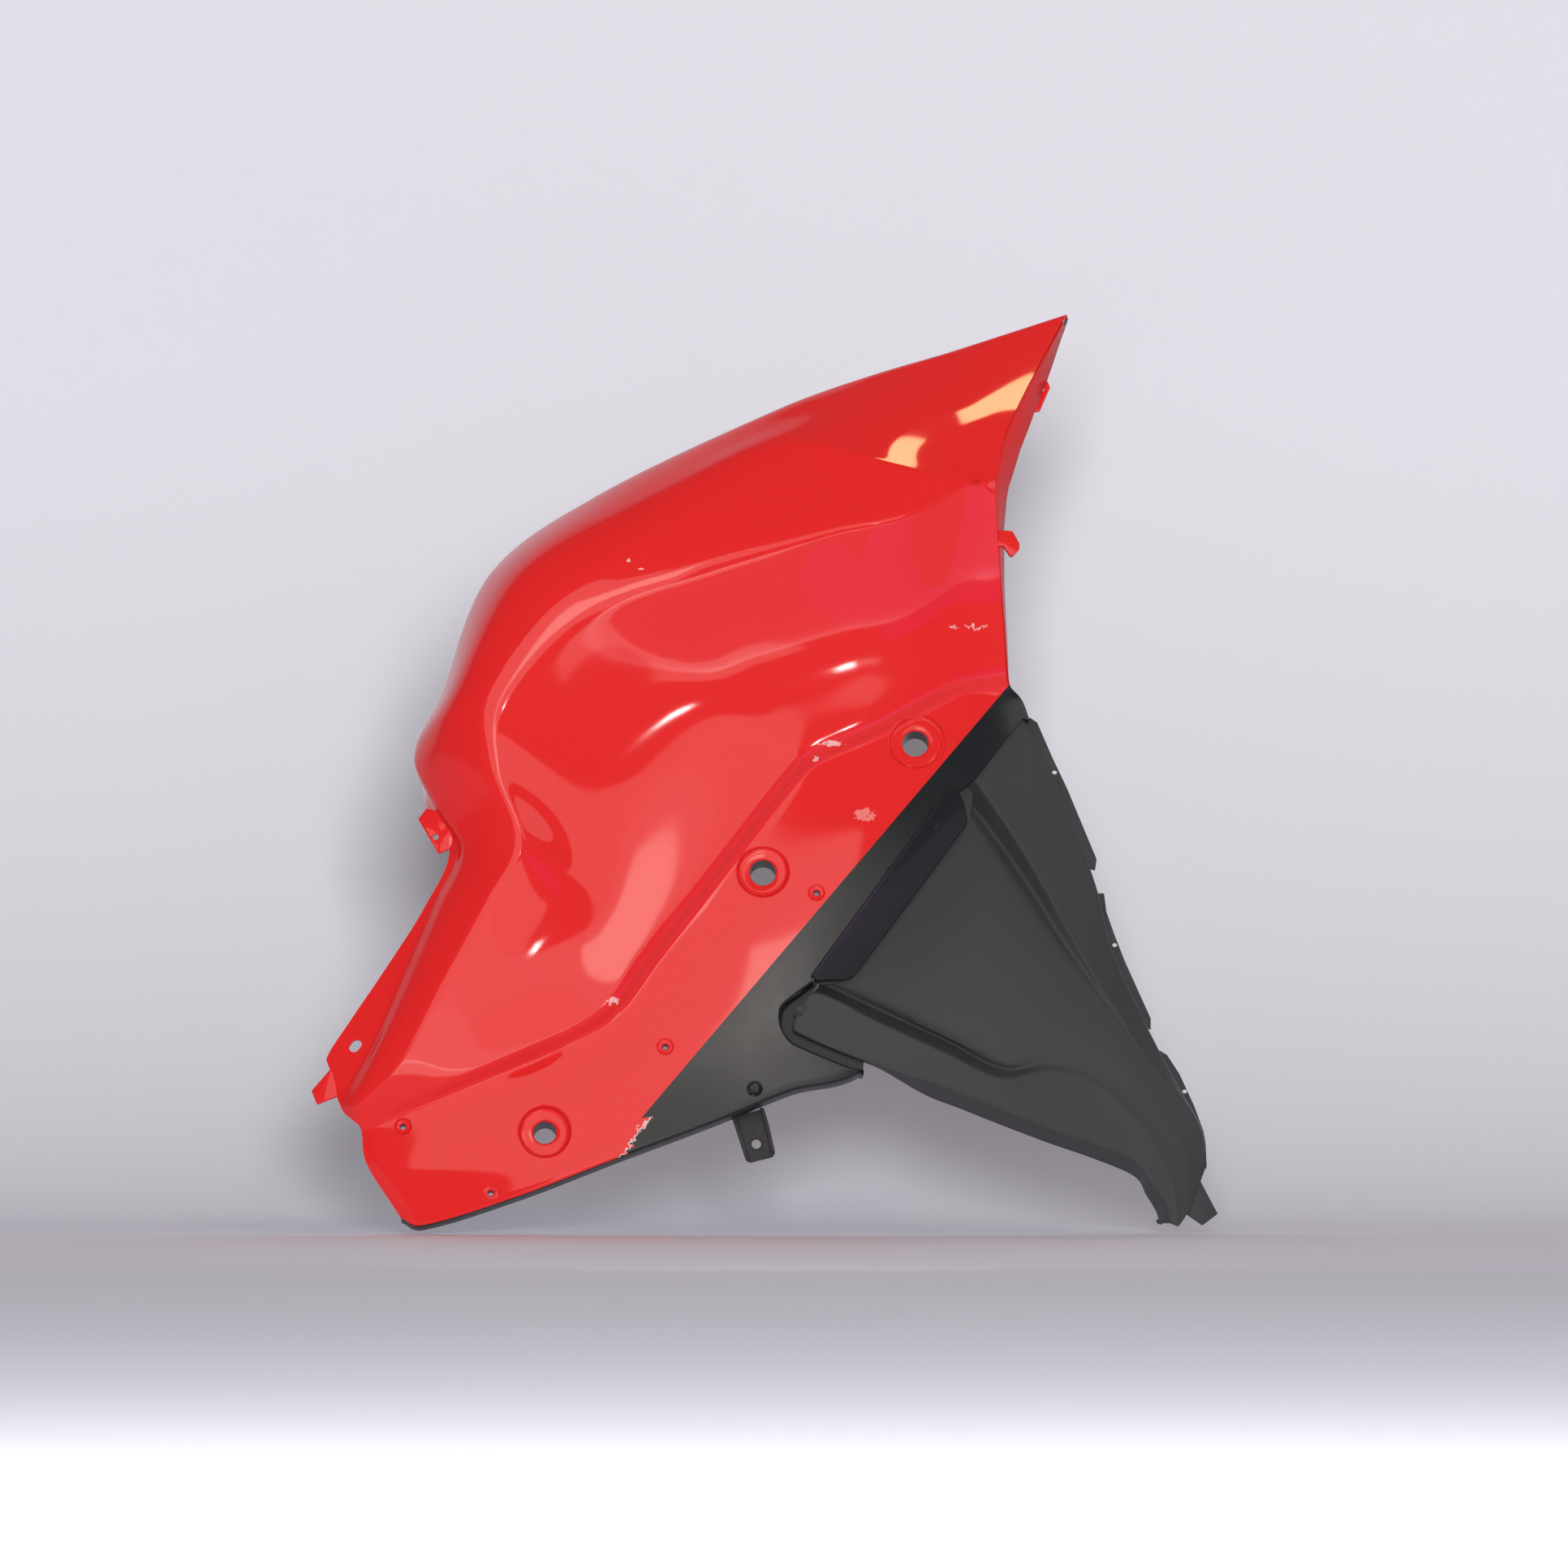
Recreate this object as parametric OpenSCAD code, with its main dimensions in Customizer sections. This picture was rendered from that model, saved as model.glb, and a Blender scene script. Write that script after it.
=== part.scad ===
// Side fairing of a motorcycle: a painted outer moulding with a matt lower trim screwed
// behind its edge. It stands as it is set up on its side view, leaning back a little, with
// the seat of the middle fixing bore at the origin, x to the right, z up and y away.
//
// Both mouldings are lofts through lines that a stylist draws on the side view. A rail row is
// [t, x, z, h]: station, place on the side view, and how far it stands out of the flat of
// the fixing band. Sections join the rails at equal stations.

/* [Overall] */
// Length of the whole fairing along x
side_w = 557; // [535:1:600]
// Height of the whole fairing along z
side_h = 567; // [545:1:610]
// Angle by which the fairing leans back from upright
lean = 14; // [8:1:20]

/* [Painted panel] */
// Wall of the painted panel
shell_wall = 3; // [2.4:0.1:3.6]
// How far the side face stands out of the fixing band
step_rise = 6; // [4:0.5:8]
// Width of the slope between the two
step_run = 6; // [5:0.5:8]
// Hollow of the side face below the shoulder
scoop = 6; // [2:0.5:8]
// Depth of the turned edge along the bottom
edge_return = 12; // [8:1:14]
// Depth of the turned edge along the front
front_return = 14; // [10:1:16]
// Wall of the lip that overlaps the trim
lip_wall = 2.5; // [2:0.1:3]
// Slope of that lip
lip_angle = 30; // [24:1:32]

/* [Fixing bores] */
// Radius of the upper and middle bore
bore_r = 8; // [6:0.5:9]
// Radius of the lower bore
lower_bore_r = 7; // [5:0.5:8]
// Radius of the round recess about the bores
recess_r = 15.5; // [13:0.5:16.5]
// Depth of that recess
recess_depth = 2.5; // [1.5:0.25:3.5]
// Wall of the tube behind each bore
tube_wall = 3.5; // [2.5:0.5:5]
// Length of that tube behind the recess
tube_length = 20; // [14:1:26]
// Radius of the small locating holes
pin_hole_r = 1.8; // [1.2:0.1:2]
// Radius of the shallow ring about each of them
pin_ring_r = 5; // [4:0.5:6]
// Depth of that ring
pin_ring_depth = 0.6; // [0.4:0.1:1]
// Radius of the boss behind it
pin_boss_r = 6.5; // [6.5:0.5:8]
// Length of that boss
pin_boss_length = 8; // [6:1:12]
// Radius of the blind dimple in the band
dimple_r = 4.5; // [3:0.5:5.5]

/* [Tabs] */
// Thickness of the mounting tabs
tab_wall = 3; // [2.4:0.2:4]
// Radius of the hole in the bottom tab
bottom_tab_hole_r = 3; // [2:0.25:4]
// Radius of the holes in the rear and front tabs
tab_hole_r = 1.8; // [1.5:0.1:2.2]
// Width of the slot in the rear flange
slot_w = 6; // [4:0.5:7]
// Length of that slot
slot_l = 8.5; // [7.5:0.5:10]

/* [Lower trim] */
// Wall of the lower trim
trim_wall = 2.5; // [2:0.1:3]
// Depth of the trim's turned edges
trim_return = 12; // [8:1:14]
// Radius of the holes in the lugs on the trim's front edge
lug_hole_r = 1.5; // [1:0.1:1.8]

/* [Screws] */
// Radius of the joining screws
screw_r = 2; // [1.5:0.1:2.4]
// Radius of their heads
screw_head_r = 4.5; // [3.5:0.5:5]
// Height of their heads
screw_head_h = 2.6; // [2:0.2:3.4]
// How far a screw reaches into its pillar
screw_grip = 9; // [6:1:10]
// Radius of the pillar that a screw goes into
pillar_r = 4.5; // [4:0.5:5.5]

/* [Hidden] */
$fn = 48;
drawn_lean = 14;  // stance, length and height in which the side view was drawn
drawn_w = 557;
drawn_h = 567;
slack = 0.1;      // radial clearance of a screw in its hole
sink = 1.2;       // how far a boss is let into the wall that carries it
red = [0.83, 0.05, 0.05];
black = [0.06, 0.06, 0.065];
steel = [0.62, 0.63, 0.65];

// Painted panel, from its lower rear end (t = -0.4) to its front edge (t = 11)
bottom_edge = [
    [-0.4, -222, -213, -12], [0, -209, -217.5, -10], [1, -150, -199.5, -5], [2, -90, -176.5, -3],
    [3, -30, -154, -2], [4, 17, -135, -2], [5, 64, -120, -3], [6, 105, -57, -4],
    [7, 125, -12, -5], [8, 138, 23, -6], [9, 150, 53, -8], [10, 158, 76, -10], [11, 165, 93, -13]];
band_middle = [
    [-0.4, -243, -180, -7], [0, -228, -182, -4.5], [1, -158, -162, -1], [2, -103, -140, 0],
    [3, -63, -117, 0], [4, -28, -95, 0], [5, 12, -68, 0], [6, 48, -15, -0.5], [7, 73, 27, -1],
    [8, 88, 53, -2], [9, 113, 73, -4], [10, 138, 95, -7.5], [11, 160, 106, -12]];
step_line = [
    [-0.4, -248, -156, -5], [0, -240, -152, -3], [1, -163, -118, -1], [2, -114, -96.5, 0],
    [3, -92, -81, 0], [4, -70, -51, 0], [5, -40, -12.5, 0], [6, -10, 26.5, 0], [7, 16, 59, 0],
    [8, 31, 72, -0.5], [9, 70, 89, -2], [10, 113, 112, -5], [10.5, 129, 116.5, -7],
    [11, 151.5, 120, -9]];
shoulder = [
    [-0.4, -252, -152.5, -3.5], [0, -247, -144, 3], [1, -222.5, -115, 10], [2, -197, -67, 17],
    [3, -170, -17.5, 23], [4, -150, 20, 27], [5, -164, 65, 33], [6, -160, 106.5, 38],
    [7, -110, 159, 42], [8, -45, 186, 43], [9, 42.5, 211, 40], [9.5, 85, 219, 37],
    [10, 123.5, 237, 31], [11, 143.5, 235, 26]];
bulge_line = [
    [-0.4, -254, -151, -4], [0, -249, -143, 3], [1, -227, -113, 9], [2, -204, -68, 15],
    [3, -179, -19, 20], [4, -161, 20, 25], [5, -178, 75, 32], [6, -171, 115, 38],
    [7, -125, 175, 43], [8, -62.5, 221, 40], [9, 22.5, 263, 33], [9.5, 70, 254, 35],
    [10, 123.5, 239, 31], [11, 144, 242.5, 26]];
brow_line = [
    [-0.4, -256, -149.5, -4.5], [0, -250.5, -142, 2.5], [1, -231, -110.5, 8], [2, -211, -69, 12.5],
    [3, -188, -20.5, 17], [4, -172, 18, 21], [5, -198, 77.5, 22], [6, -187.5, 116, 28],
    [7, -150, 185, 34], [8, -84, 230, 29], [9, 22.5, 281.5, 20], [9.5, 75, 285, 21],
    [10, 115, 281, 21], [11, 155, 280.5, 17]];
ridge = [
    [-0.4, -258, -147.5, -5], [0, -252, -140.5, 2], [1, -235, -107.5, 6], [2, -217.5, -69.5, 9],
    [3, -197.5, -21.5, 12], [4, -184, 14, 14], [4.5, -200, 40, 8], [5, -214.5, 70, 0],
    [6, -197.5, 112.5, -2], [7, -167.5, 185, 0], [8, -100, 233.5, 8], [9, 10, 286, 12],
    [9.5, 62.5, 305, 8], [10, 120, 323.5, 2], [11, 190, 346.5, -8]];
flange_root = [
    [-0.4, -262, -138.5, -5.5], [0, -257, -135, -4], [1, -240, -106.5, -1], [2, -223, -67.5, 2],
    [3, -202, -18.5, 5], [4, -188.5, 16, 6], [4.5, -205, 40, -4], [5, -213.5, 71.5, -16],
    [6, -195.5, 114, -20], [7, -164, 183.5, -18], [8, -97.5, 231.5, -8], [9, 11, 283.5, -2],
    [10, 120, 321, -8], [11, 189, 343.5, -16]];
flange_edge = [
    [-0.4, -266.5, -120.5, -7], [0, -268, -114, -6], [1, -254, -92, -4], [2, -231, -58, -1],
    [3, -208, -21.5, 3], [4, -193, 14, 4], [4.5, -207.5, 38, -12], [5, -210, 74, -32],
    [6, -192, 116.5, -38], [7, -159, 183.5, -36], [8, -94, 229, -24], [9, 12.5, 280.5, -14],
    [10, 120, 318.5, -18], [11, 188, 340.5, -24]];
stations = [-0.4, 0, 0.4, 0.8, 1.2, 1.6, 2, 2.4, 2.8, 3.2, 3.6, 4, 4.25, 4.5, 4.75, 5, 5.3, 5.6,
    6, 6.3, 6.6, 7, 7.3, 7.6, 8, 8.33, 8.67, 9, 9.25, 9.5, 9.75, 10, 10.25, 10.6, 11];

// Lower trim, from under the lip (t = 0) to its lower tip (t = 9)
trim_low = [
    [-0.2, 18.5, -92.5, -5], [0, 20, -98.5, -5], [1, 66, -118, -7], [2, 110, -132.5, -9], [3, 145, -146, -11],
    [4, 175, -157.5, -13], [5, 202, -167, -15], [6, 227.5, -178, -17], [7, 237, -190, -18],
    [8, 246, -203, -19.5], [9, 250, -216, -21]];
strip_low = [
    [-0.2, 22, -87.5, -3], [0, 31, -74.5, -2], [1, 70, -92, -3], [2, 110, -110.5, -4], [3, 146, -127, -6],
    [4, 175, -122.5, -9], [5, 200, -128, -11], [6, 225, -147, -13], [7, 241, -168, -15.5],
    [8, 252, -193, -18], [9, 255, -218, -20.5]];
hollow_low = [
    [-0.2, 35.5, -68, -20], [0, 38, -70, -20], [1, 75, -87, -19], [2, 113, -104, -17], [3, 148, -121, -14],
    [4, 176, -118, -11], [5, 201, -125, -11.5], [6, 226, -143, -13.2], [7, 243, -164, -15.5],
    [8, 254, -189, -18], [9, 257, -216, -20.5]];
shelf_low = [
    [-0.2, 52.5, -63, -15], [0, 55, -65, -15], [1, 86, -81, -12], [2, 119, -99, -10.5], [3, 151, -115, -9.5],
    [4, 178, -113, -10], [5, 203, -121, -11.3], [6, 228, -139, -13.2], [7, 246, -160, -15.5],
    [8, 257, -184, -18], [9, 259, -213, -20.5]];
crown = [
    [-0.2, 87.5, -16, -14.5], [0, 90, -18, -14.5], [1, 118, -40, -9.5], [2, 143, -61, -8], [3, 168, -81, -8],
    [4, 193, -96, -9], [5, 215, -110, -10.6], [6, 234, -132, -12.8], [7, 250, -153, -15.2],
    [8, 261, -177, -17.8], [9, 261.5, -209, -20.5]];
shelf_high = [
    [-0.2, 121.5, 28, -15.5], [0, 124, 26, -15.5], [1, 142, 3, -12], [2, 161, -23.5, -10.5], [3, 180, -49, -10],
    [4, 202, -76, -10.3], [5, 221, -98, -11.2], [6, 238, -125, -13.2], [7, 254, -147, -15.6],
    [8, 264.5, -170, -18.1], [9, 264, -203, -20.7]];
hollow_high = [
    [-0.2, 124.5, 45, -22], [0, 127, 43, -22], [1, 146, 18, -20], [2, 166, -11, -17], [3, 183, -39, -14.5],
    [4, 204, -70, -12], [5, 222.5, -97, -11.6], [6, 239.5, -123, -13.7], [7, 256.5, -144, -16],
    [8, 267.5, -166, -18.4], [9, 265.5, -199, -21]];
strip_high = [
    [-0.2, 129, 58.5, -9], [0, 131, 56, -9], [1, 150, 28.5, -8.5], [2, 168.5, -1.5, -9], [3, 184.5, -30, -9.5],
    [4, 205, -66, -10.5], [5, 224, -95, -11.5], [6, 241, -120, -14], [7, 259, -141, -16.3],
    [8, 270, -162.5, -18.7], [9, 267, -196, -21.2]];
trim_front = [
    [-0.2, 159, 97, -16], [0, 161, 94, -16], [1, 180, 55, -17], [2, 196, 18, -17.5], [3, 207, -14, -18],
    [4, 214.5, -46, -18.5], [5, 228, -77, -19], [6, 244, -110, -20], [7, 260, -139, -21],
    [8, 271, -160, -22], [9, 273, -180, -23]];
trim_stations = concat([-0.2], [for (t = [0:0.375:9]) t]);

// Places on the side view
bores = [[94, 79.5], [0, 0], [-134, -159.5]];                   // upper, middle, lower
bore_radii = [bore_r, bore_r, lower_bore_r];
bore_faces = [-1.2, 0, -1.5];                                     // skin height at each bore
pin_holes = [[33, -13], [-60, -107.5], [-221, -156.5], [-167, -197]];
pin_faces = [-0.3, 0, -3.6, -4.6];
dimple = [-5, -133.5];
slot = [-250.5, -107];
screw_places = [[52, -38], [80, -4], [104, 26]];                 // behind the band, above the lip
margin_h = -16;                                                  // face of the trim's margin there
bottom_tab_hole = [-4, -167.5];
bottom_tab = [for (p = [[-15, 16.5], [4.5, 22], [7.5, 12.5], [11.5, -5], [10, -7.5], [-4, -11],
    [-6.5, -9.5], [-12, 7.5]]) bottom_tab_hole + p];
rear_tab_hole = [-201.5, 21];
rear_tab = [for (p = [[-6, 17], [-11, 10.5], [1.5, -11], [6.5, -9], [14.5, -5], [11.5, 13]])
    rear_tab_hole + p];
corner_tab = [[-264, -119], [-277.5, -134.5], [-274, -143], [-259, -137]];
front_tab_hole = [172.5, 298.5];
front_tab = [for (p = [[-12.5, -1.5], [-6.5, 13.5], [0.5, 12.5], [5.5, 1.5], [-1, -13.5],
    [-12.5, -15.5]]) front_tab_hole + p];
hook = [[138, 207], [154, 207], [158.5, 199], [158.5, 195.5], [154.5, 191.5], [152.5, 191.5],
    [148.5, 197.5], [138, 197.5]];
tongue = [[258, -196], [268.5, -189], [279.5, -210], [270, -217], [260, -210]];
lugs = [
    [[160, 90], [165, 95], [169.5, 92], [179, 70], [188, 51], [206, 7.5], [205, 1], [197, 3]],
    [[203, -17], [206.5, -13.5], [210.5, -13.5], [212, -25], [216.5, -38], [223.5, -56],
        [239, -90.5], [239, -97], [232, -95]],
    [[239, -112], [244, -110], [249, -113], [256.5, -124.5], [265.5, -144], [271.5, -160.5],
        [271, -167], [265, -166]]];
lug_holes = [[180.2, 61], [217, -45.5], [259.8, -135.5]];
lug_faces = [-26.5, -28.5, -31];
trim_margin = [[52, -68], [62, -64], [127.5, 30], [106, 46], [27, -51]];

// Trim opening in the panel's outline, from the bottom corner round to the front edge
trim_opening = [
    [64.5, -126], [62, -121.5], [50, -118], [24, -107.5], [16, -102], [11, -94], [11.5, -83],
    [31, -67.5], [121, 51], [131.5, 59], [160.5, 97.5], [190, 90], [190, -126]];
recess_rim = [
    [62, -121.5], [50, -118], [24, -107.5], [18, -104.5], [14, -100], [11, -94], [10.5, -88.5],
    [12.5, -82.5], [31, -67.5]];
recess_top = -2.6;       // inside the band's wall
recess_floor = -13.5;    // back of the ledge under the trim's corner
ledge_width = 7;
ledge_end = [28.5, -71.5];
lip_line = [[35, -67], [121, 51]];
lip_outline = [[33, -67], [49.5, -67], [58.5, -61.5], [70, -46.5], [126.5, 29.5], [124.5, 42],
    [120, 51.5], [114, 50], [30, -64]];

function unit(v) = v / norm(v);
function mix(a, b, k) = a * (1 - k) + b * k;
function ease(a, b, t) = let (k = min(1, max(0, (t - a) / (b - a)))) k * k * (3 - 2 * k);

// Side view point [x, z] at height h, in the panel's own frame: x, along the panel, outwards
function seen(x, z, h) = [x * side_w / drawn_w,
    (z - h * sin(drawn_lean)) / cos(drawn_lean) * side_h / drawn_h, h];

// Smooth curve through the rows of a rail, at station t
function slope(r, i) = let (a = max(0, i - 1), b = min(len(r) - 1, i + 1))
    (r[b] - r[a]) / (r[b][0] - r[a][0]);
function span(r, t, i = 0) = i >= len(r) - 2 || t < r[i + 1][0] ? i : span(r, t, i + 1);
function on_rail(r, t) =
    let (i = span(r, t), w = r[i + 1][0] - r[i][0], k = (t - r[i][0]) / w,
        p = r[i] * (2 * k * k * k - 3 * k * k + 1) + slope(r, i) * w * (k * k * k - 2 * k * k + k)
            + r[i + 1] * (3 * k * k - 2 * k * k * k) + slope(r, i + 1) * w * (k * k * k - k * k))
    seen(p[1], p[2], p[3]);

// Smooth curve through the points p, n steps a span, without its last point
function tangent(p, i) = i == 0 ? p[1] - p[0] : i == len(p) - 1 ? p[i] - p[i - 1]
    : (p[i + 1] - p[i - 1]) / 2;
function smooth(p, n) = [for (i = [0:len(p) - 2], j = [0:n - 1]) let (k = j / n)
    p[i] * (2 * k * k * k - 3 * k * k + 1) + tangent(p, i) * (k * k * k - 2 * k * k + k)
    + p[i + 1] * (3 * k * k - 2 * k * k * k) + tangent(p, i + 1) * (k * k * k - k * k)];
function straight(p, n) = [for (i = [0:len(p) - 2], j = [0:n - 1]) mix(p[i], p[i + 1], j / n)];

// Sections
function step_share(t) = mix(0.15, 1, ease(-0.4, 1, t)) * mix(1, 0.7, ease(9.5, 11, t));
function return_depth(t) = mix(3.5, trim_return, ease(1, 1.8, t));
function dip(t) = scoop * ease(0, 6, t) * mix(1, 0.5, ease(9, 11, t));
function panel_section(t) =
    let (low = on_rail(bottom_edge, t),
        foot_h = on_rail(step_line, t),
        ahead = on_rail(step_line, min(t + 0.1, 11)) - on_rail(step_line, max(t - 0.1, -0.4)),
        foot = foot_h + step_run * unit([ahead.y, -ahead.x, 0]) * mix(0.6, 1, ease(-0.4, 1, t)),
        top = foot_h + [0, 0, step_rise * step_share(t)],
        crest = on_rail(shoulder, t),
        hollow = mix(top, crest, 0.5) - [0, 0, dip(t)],
        bulge = on_rail(bulge_line, t),
        brow = on_rail(brow_line, t),
        edge = on_rail(ridge, t),
        root = on_rail(flange_root, t),
        rim = on_rail(flange_edge, t),
        soft = smooth([crest, bulge, brow, edge, root, rim], 3),
        firm = concat(smooth([crest, bulge], 3), smooth([bulge, brow, edge], 3),
            straight([edge, root, rim], 3)),
        nose = ease(8.6, 9.4, t),
        crisp = max(1 - ease(4, 4.8, t), ease(9.2, 10, t)))
    concat([low - [0, 0, edge_return]], smooth([low, on_rail(band_middle, t), foot], 3),
        [foot], smooth([top, hollow, crest], 4),
        [for (i = [0:len(soft) - 1]) mix(soft[i], firm[i], i < 6 ? nose : crisp)], [rim]);

function trim_section(t) =
    let (low = on_rail(trim_low, t), front = on_rail(trim_front, t))
    concat([low - [0, 0, return_depth(t)]], straight([low, on_rail(strip_low, t)], 2),
        straight([on_rail(strip_low, t), on_rail(hollow_low, t)], 1),
        smooth([for (r = [hollow_low, shelf_low, crown, shelf_high, hollow_high]) on_rail(r, t)], 3),
        straight([on_rail(hollow_high, t), on_rail(strip_high, t)], 1),
        straight([on_rail(strip_high, t), front], 2), [front, front - [0, 0, trim_return]]);

// Closed shell through a grid of points, its wall laid behind the grid
function normal(g, i, j) =
    let (a = g[min(i + 1, len(g) - 1)][j] - g[max(i - 1, 0)][j],
        b = g[i][min(j + 1, len(g[0]) - 1)] - g[i][max(j - 1, 0)],
        c = cross(a, b))
    norm(c) < 0.001 ? normal(g, i - 1, j) : unit(c);
module shell(g, wall) {
    n = len(g);
    m = len(g[0]);
    outer = [for (i = [0:n - 1], j = [0:m - 1]) g[i][j]];
    inner = [for (i = [0:n - 1], j = [0:m - 1]) g[i][j] - wall * normal(g, i, j)];
    o = n * m;
    skin = [for (i = [0:n - 2], j = [0:m - 2]) let (a = i * m + j, b = a + m)
        each [[a, a + 1, b], [b, a + 1, b + 1]]];
    back = [for (f = skin) [f[0] + o, f[2] + o, f[1] + o]];
    ends = [for (j = [0:m - 2]) each let (z = (n - 1) * m + j)
        [[j, j + o, j + 1], [j + 1, j + o, j + 1 + o],
        [z, z + 1, z + o], [z + 1, z + 1 + o, z + o]]];
    sides = [for (i = [0:n - 2]) each let (a = i * m, z = a + m - 1)
        [[a, a + m, a + o], [a + m, a + m + o, a + o],
        [z, z + o, z + m], [z + m, z + o, z + m + o]]];
    polyhedron(concat(outer, inner), concat(skin, back, ends, sides), convexity = 12);
}

// A path moved sideways in the flat by d, to its left when d is positive
function aside(path, d) = [for (i = [0:len(path) - 1])
    let (v = path[min(i + 1, len(path) - 1)] - path[max(i - 1, 0)])
    path[i] + d * unit([-v.y, v.x, 0])];

// A wall of even thickness that runs back from a path, from `top` below it to `depth` below it
module wall_along(path, thick, depth, top) {
    n = len(path);
    other = aside(path, thick);
    rows = concat([for (p = path) p - [0, 0, top]], [for (p = path) p - [0, 0, depth]],
        [for (p = other) p - [0, 0, depth]], [for (p = other) p - [0, 0, top]]);
    faces = [for (k = [0:3], i = [0:n - 2]) each
        let (a = k * n + i, b = ((k + 1) % 4) * n + i) [[a, a + 1, b], [a + 1, b + 1, b]]];
    z = n - 1;
    caps = [[0, n, 2 * n], [0, 2 * n, 3 * n], [z, z + 2 * n, z + n], [z, z + 3 * n, z + 2 * n]];
    polyhedron(rows, concat(faces, caps), convexity = 6);
}

// Turns the panel's own frame to the stance, with the middle bore's seat at the origin
module stance() {
    rotate([90 - lean, 0, 0]) translate([0, 0, recess_depth]) children();
}

// Puts a child on the skin at a side view place, its axis along the panel's normal
module at(place, h = 0) {
    translate(seen(place[0], place[1], h)) children();
}

// A flat plate between two heights, its outline drawn on the side view at the upper one
module plate(outline, low, high) {
    translate([0, 0, low]) linear_extrude(high - low)
        polygon([for (p = outline) let (s = seen(p.x, p.y, min(high, 0))) [s.x, s.y]]);
}

module bore_body(r) {
    translate([0, 0, -recess_depth - shell_wall])
        cylinder(r = recess_r + shell_wall, h = shell_wall + recess_depth - sink);
    translate([0, 0, -recess_depth - tube_length]) cylinder(r = r + tube_wall, h = tube_length);
}

module bore_cut(r) {
    translate([0, 0, -recess_depth]) cylinder(r = recess_r, h = 20);
    translate([0, 0, -recess_depth - tube_length - 1]) cylinder(r = r, h = tube_length + 10);
}

module pin_body() {
    translate([0, 0, -pin_boss_length]) cylinder(r = pin_boss_r, h = pin_boss_length - sink);
}

module pin_cut() {
    translate([0, 0, -pin_ring_depth]) cylinder(r = pin_ring_r, h = 4);
    translate([0, 0, -pin_boss_length - 1]) cylinder(r = pin_hole_r, h = pin_boss_length + 4);
}

// The lip that leans over the trim from the band's edge
module lip() {
    low = seen(lip_line[0].x, lip_line[0].y, 0);
    run = seen(lip_line[1].x, lip_line[1].y, 0) - low;
    intersection() {
        translate(low) rotate([0, 0, atan2(run.y, run.x)]) rotate([lip_angle, 0, 0])
            translate([-10, -30, -lip_wall]) cube([norm(run) + 20, 32, lip_wall]);
        plate(lip_outline, -30, 10);
    }
}

// The sunk ledge that the trim's corner lies on, and the wall down to it
module ledge() {
    rim = [for (p = recess_rim) seen(p.x, p.y, 0)];
    wall_along(rim, shell_wall, -recess_floor, -recess_top);
    floor_line = [for (i = [0:len(rim) - 2]) rim[i]];
    outline = concat(aside(rim, shell_wall - 1), [seen(ledge_end.x, ledge_end.y, 0)],
        [for (i = [len(rim) - 2:-1:0]) aside(floor_line, -ledge_width)[i]]);
    translate([0, 0, recess_floor]) linear_extrude(2.5)
        polygon([for (p = outline) [p.x, p.y]]);
}

module bottom_tab_body() {
    low = -edge_return - 3;
    plate(bottom_tab, low, low + tab_wall);
    plate([bottom_tab[1], bottom_tab[2], bottom_tab[3], bottom_tab[3] - [2.5, 0],
        bottom_tab[2] - [2.5, 0], bottom_tab[1] - [2.5, 0]], low, low + 5);
    plate([bottom_tab[0], bottom_tab[7], bottom_tab[6], bottom_tab[6] + [2.5, 0.7],
        bottom_tab[7] + [2.5, 0], bottom_tab[0] + [2.5, 0]], low, low + 5);
}

module slot_shape(r, h) {
    for (s = [-1, 1]) translate([s * (slot_l - slot_w) / 2, 0, -h / 2]) cylinder(r = r, h = h);
    translate([-(slot_l - slot_w) / 2, -r, -h / 2]) cube([slot_l - slot_w, 2 * r, h]);
}

module painted_panel() {
    sections = [for (t = stations) panel_section(t)];
    front = sections[len(sections) - 1];
    color(red) stance() {
        difference() {
            union() {
                difference() {
                    shell(sections, shell_wall);
                    plate(trim_opening, -60, 20);
                }
                wall_along([for (j = [4:len(front) - 8]) front[j]], shell_wall, front_return, 1);
                ledge();
                lip();
                plate(rear_tab, 1, 1 + tab_wall);
                plate(corner_tab, -8.5, -8.5 + tab_wall);
                plate(front_tab, -9, -9 + tab_wall);
                plate(hook, 9, 9 + 2 * tab_wall);
                bottom_tab_body();
                for (i = [0:2]) at(bores[i], bore_faces[i]) bore_body(bore_radii[i]);
                for (i = [0:3]) at(pin_holes[i], pin_faces[i]) pin_body();
                for (p = screw_places) at(p, margin_h) cylinder(r = pillar_r, h = -margin_h - sink);
            }
            for (i = [0:2]) at(bores[i], bore_faces[i]) bore_cut(bore_radii[i]);
            for (i = [0:3]) at(pin_holes[i], pin_faces[i]) pin_cut();
            for (p = screw_places) at(p, margin_h) translate([0, 0, -1])
                cylinder(r = screw_r + slack, h = screw_grip + 2);
            at(dimple, -3) cylinder(r = dimple_r, h = 6);
            at(slot, -3) rotate([0, 0, 50]) slot_shape(slot_w / 2, 20);
            at(rear_tab_hole, 1) translate([0, 0, -5]) cylinder(r = tab_hole_r, h = 14);
            at(front_tab_hole, -6) translate([0, 0, -8]) cylinder(r = tab_hole_r, h = 12);
            at(bottom_tab_hole, -12) translate([0, 0, -10]) cylinder(r = bottom_tab_hole_r, h = 20);
        }
    }
}

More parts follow.
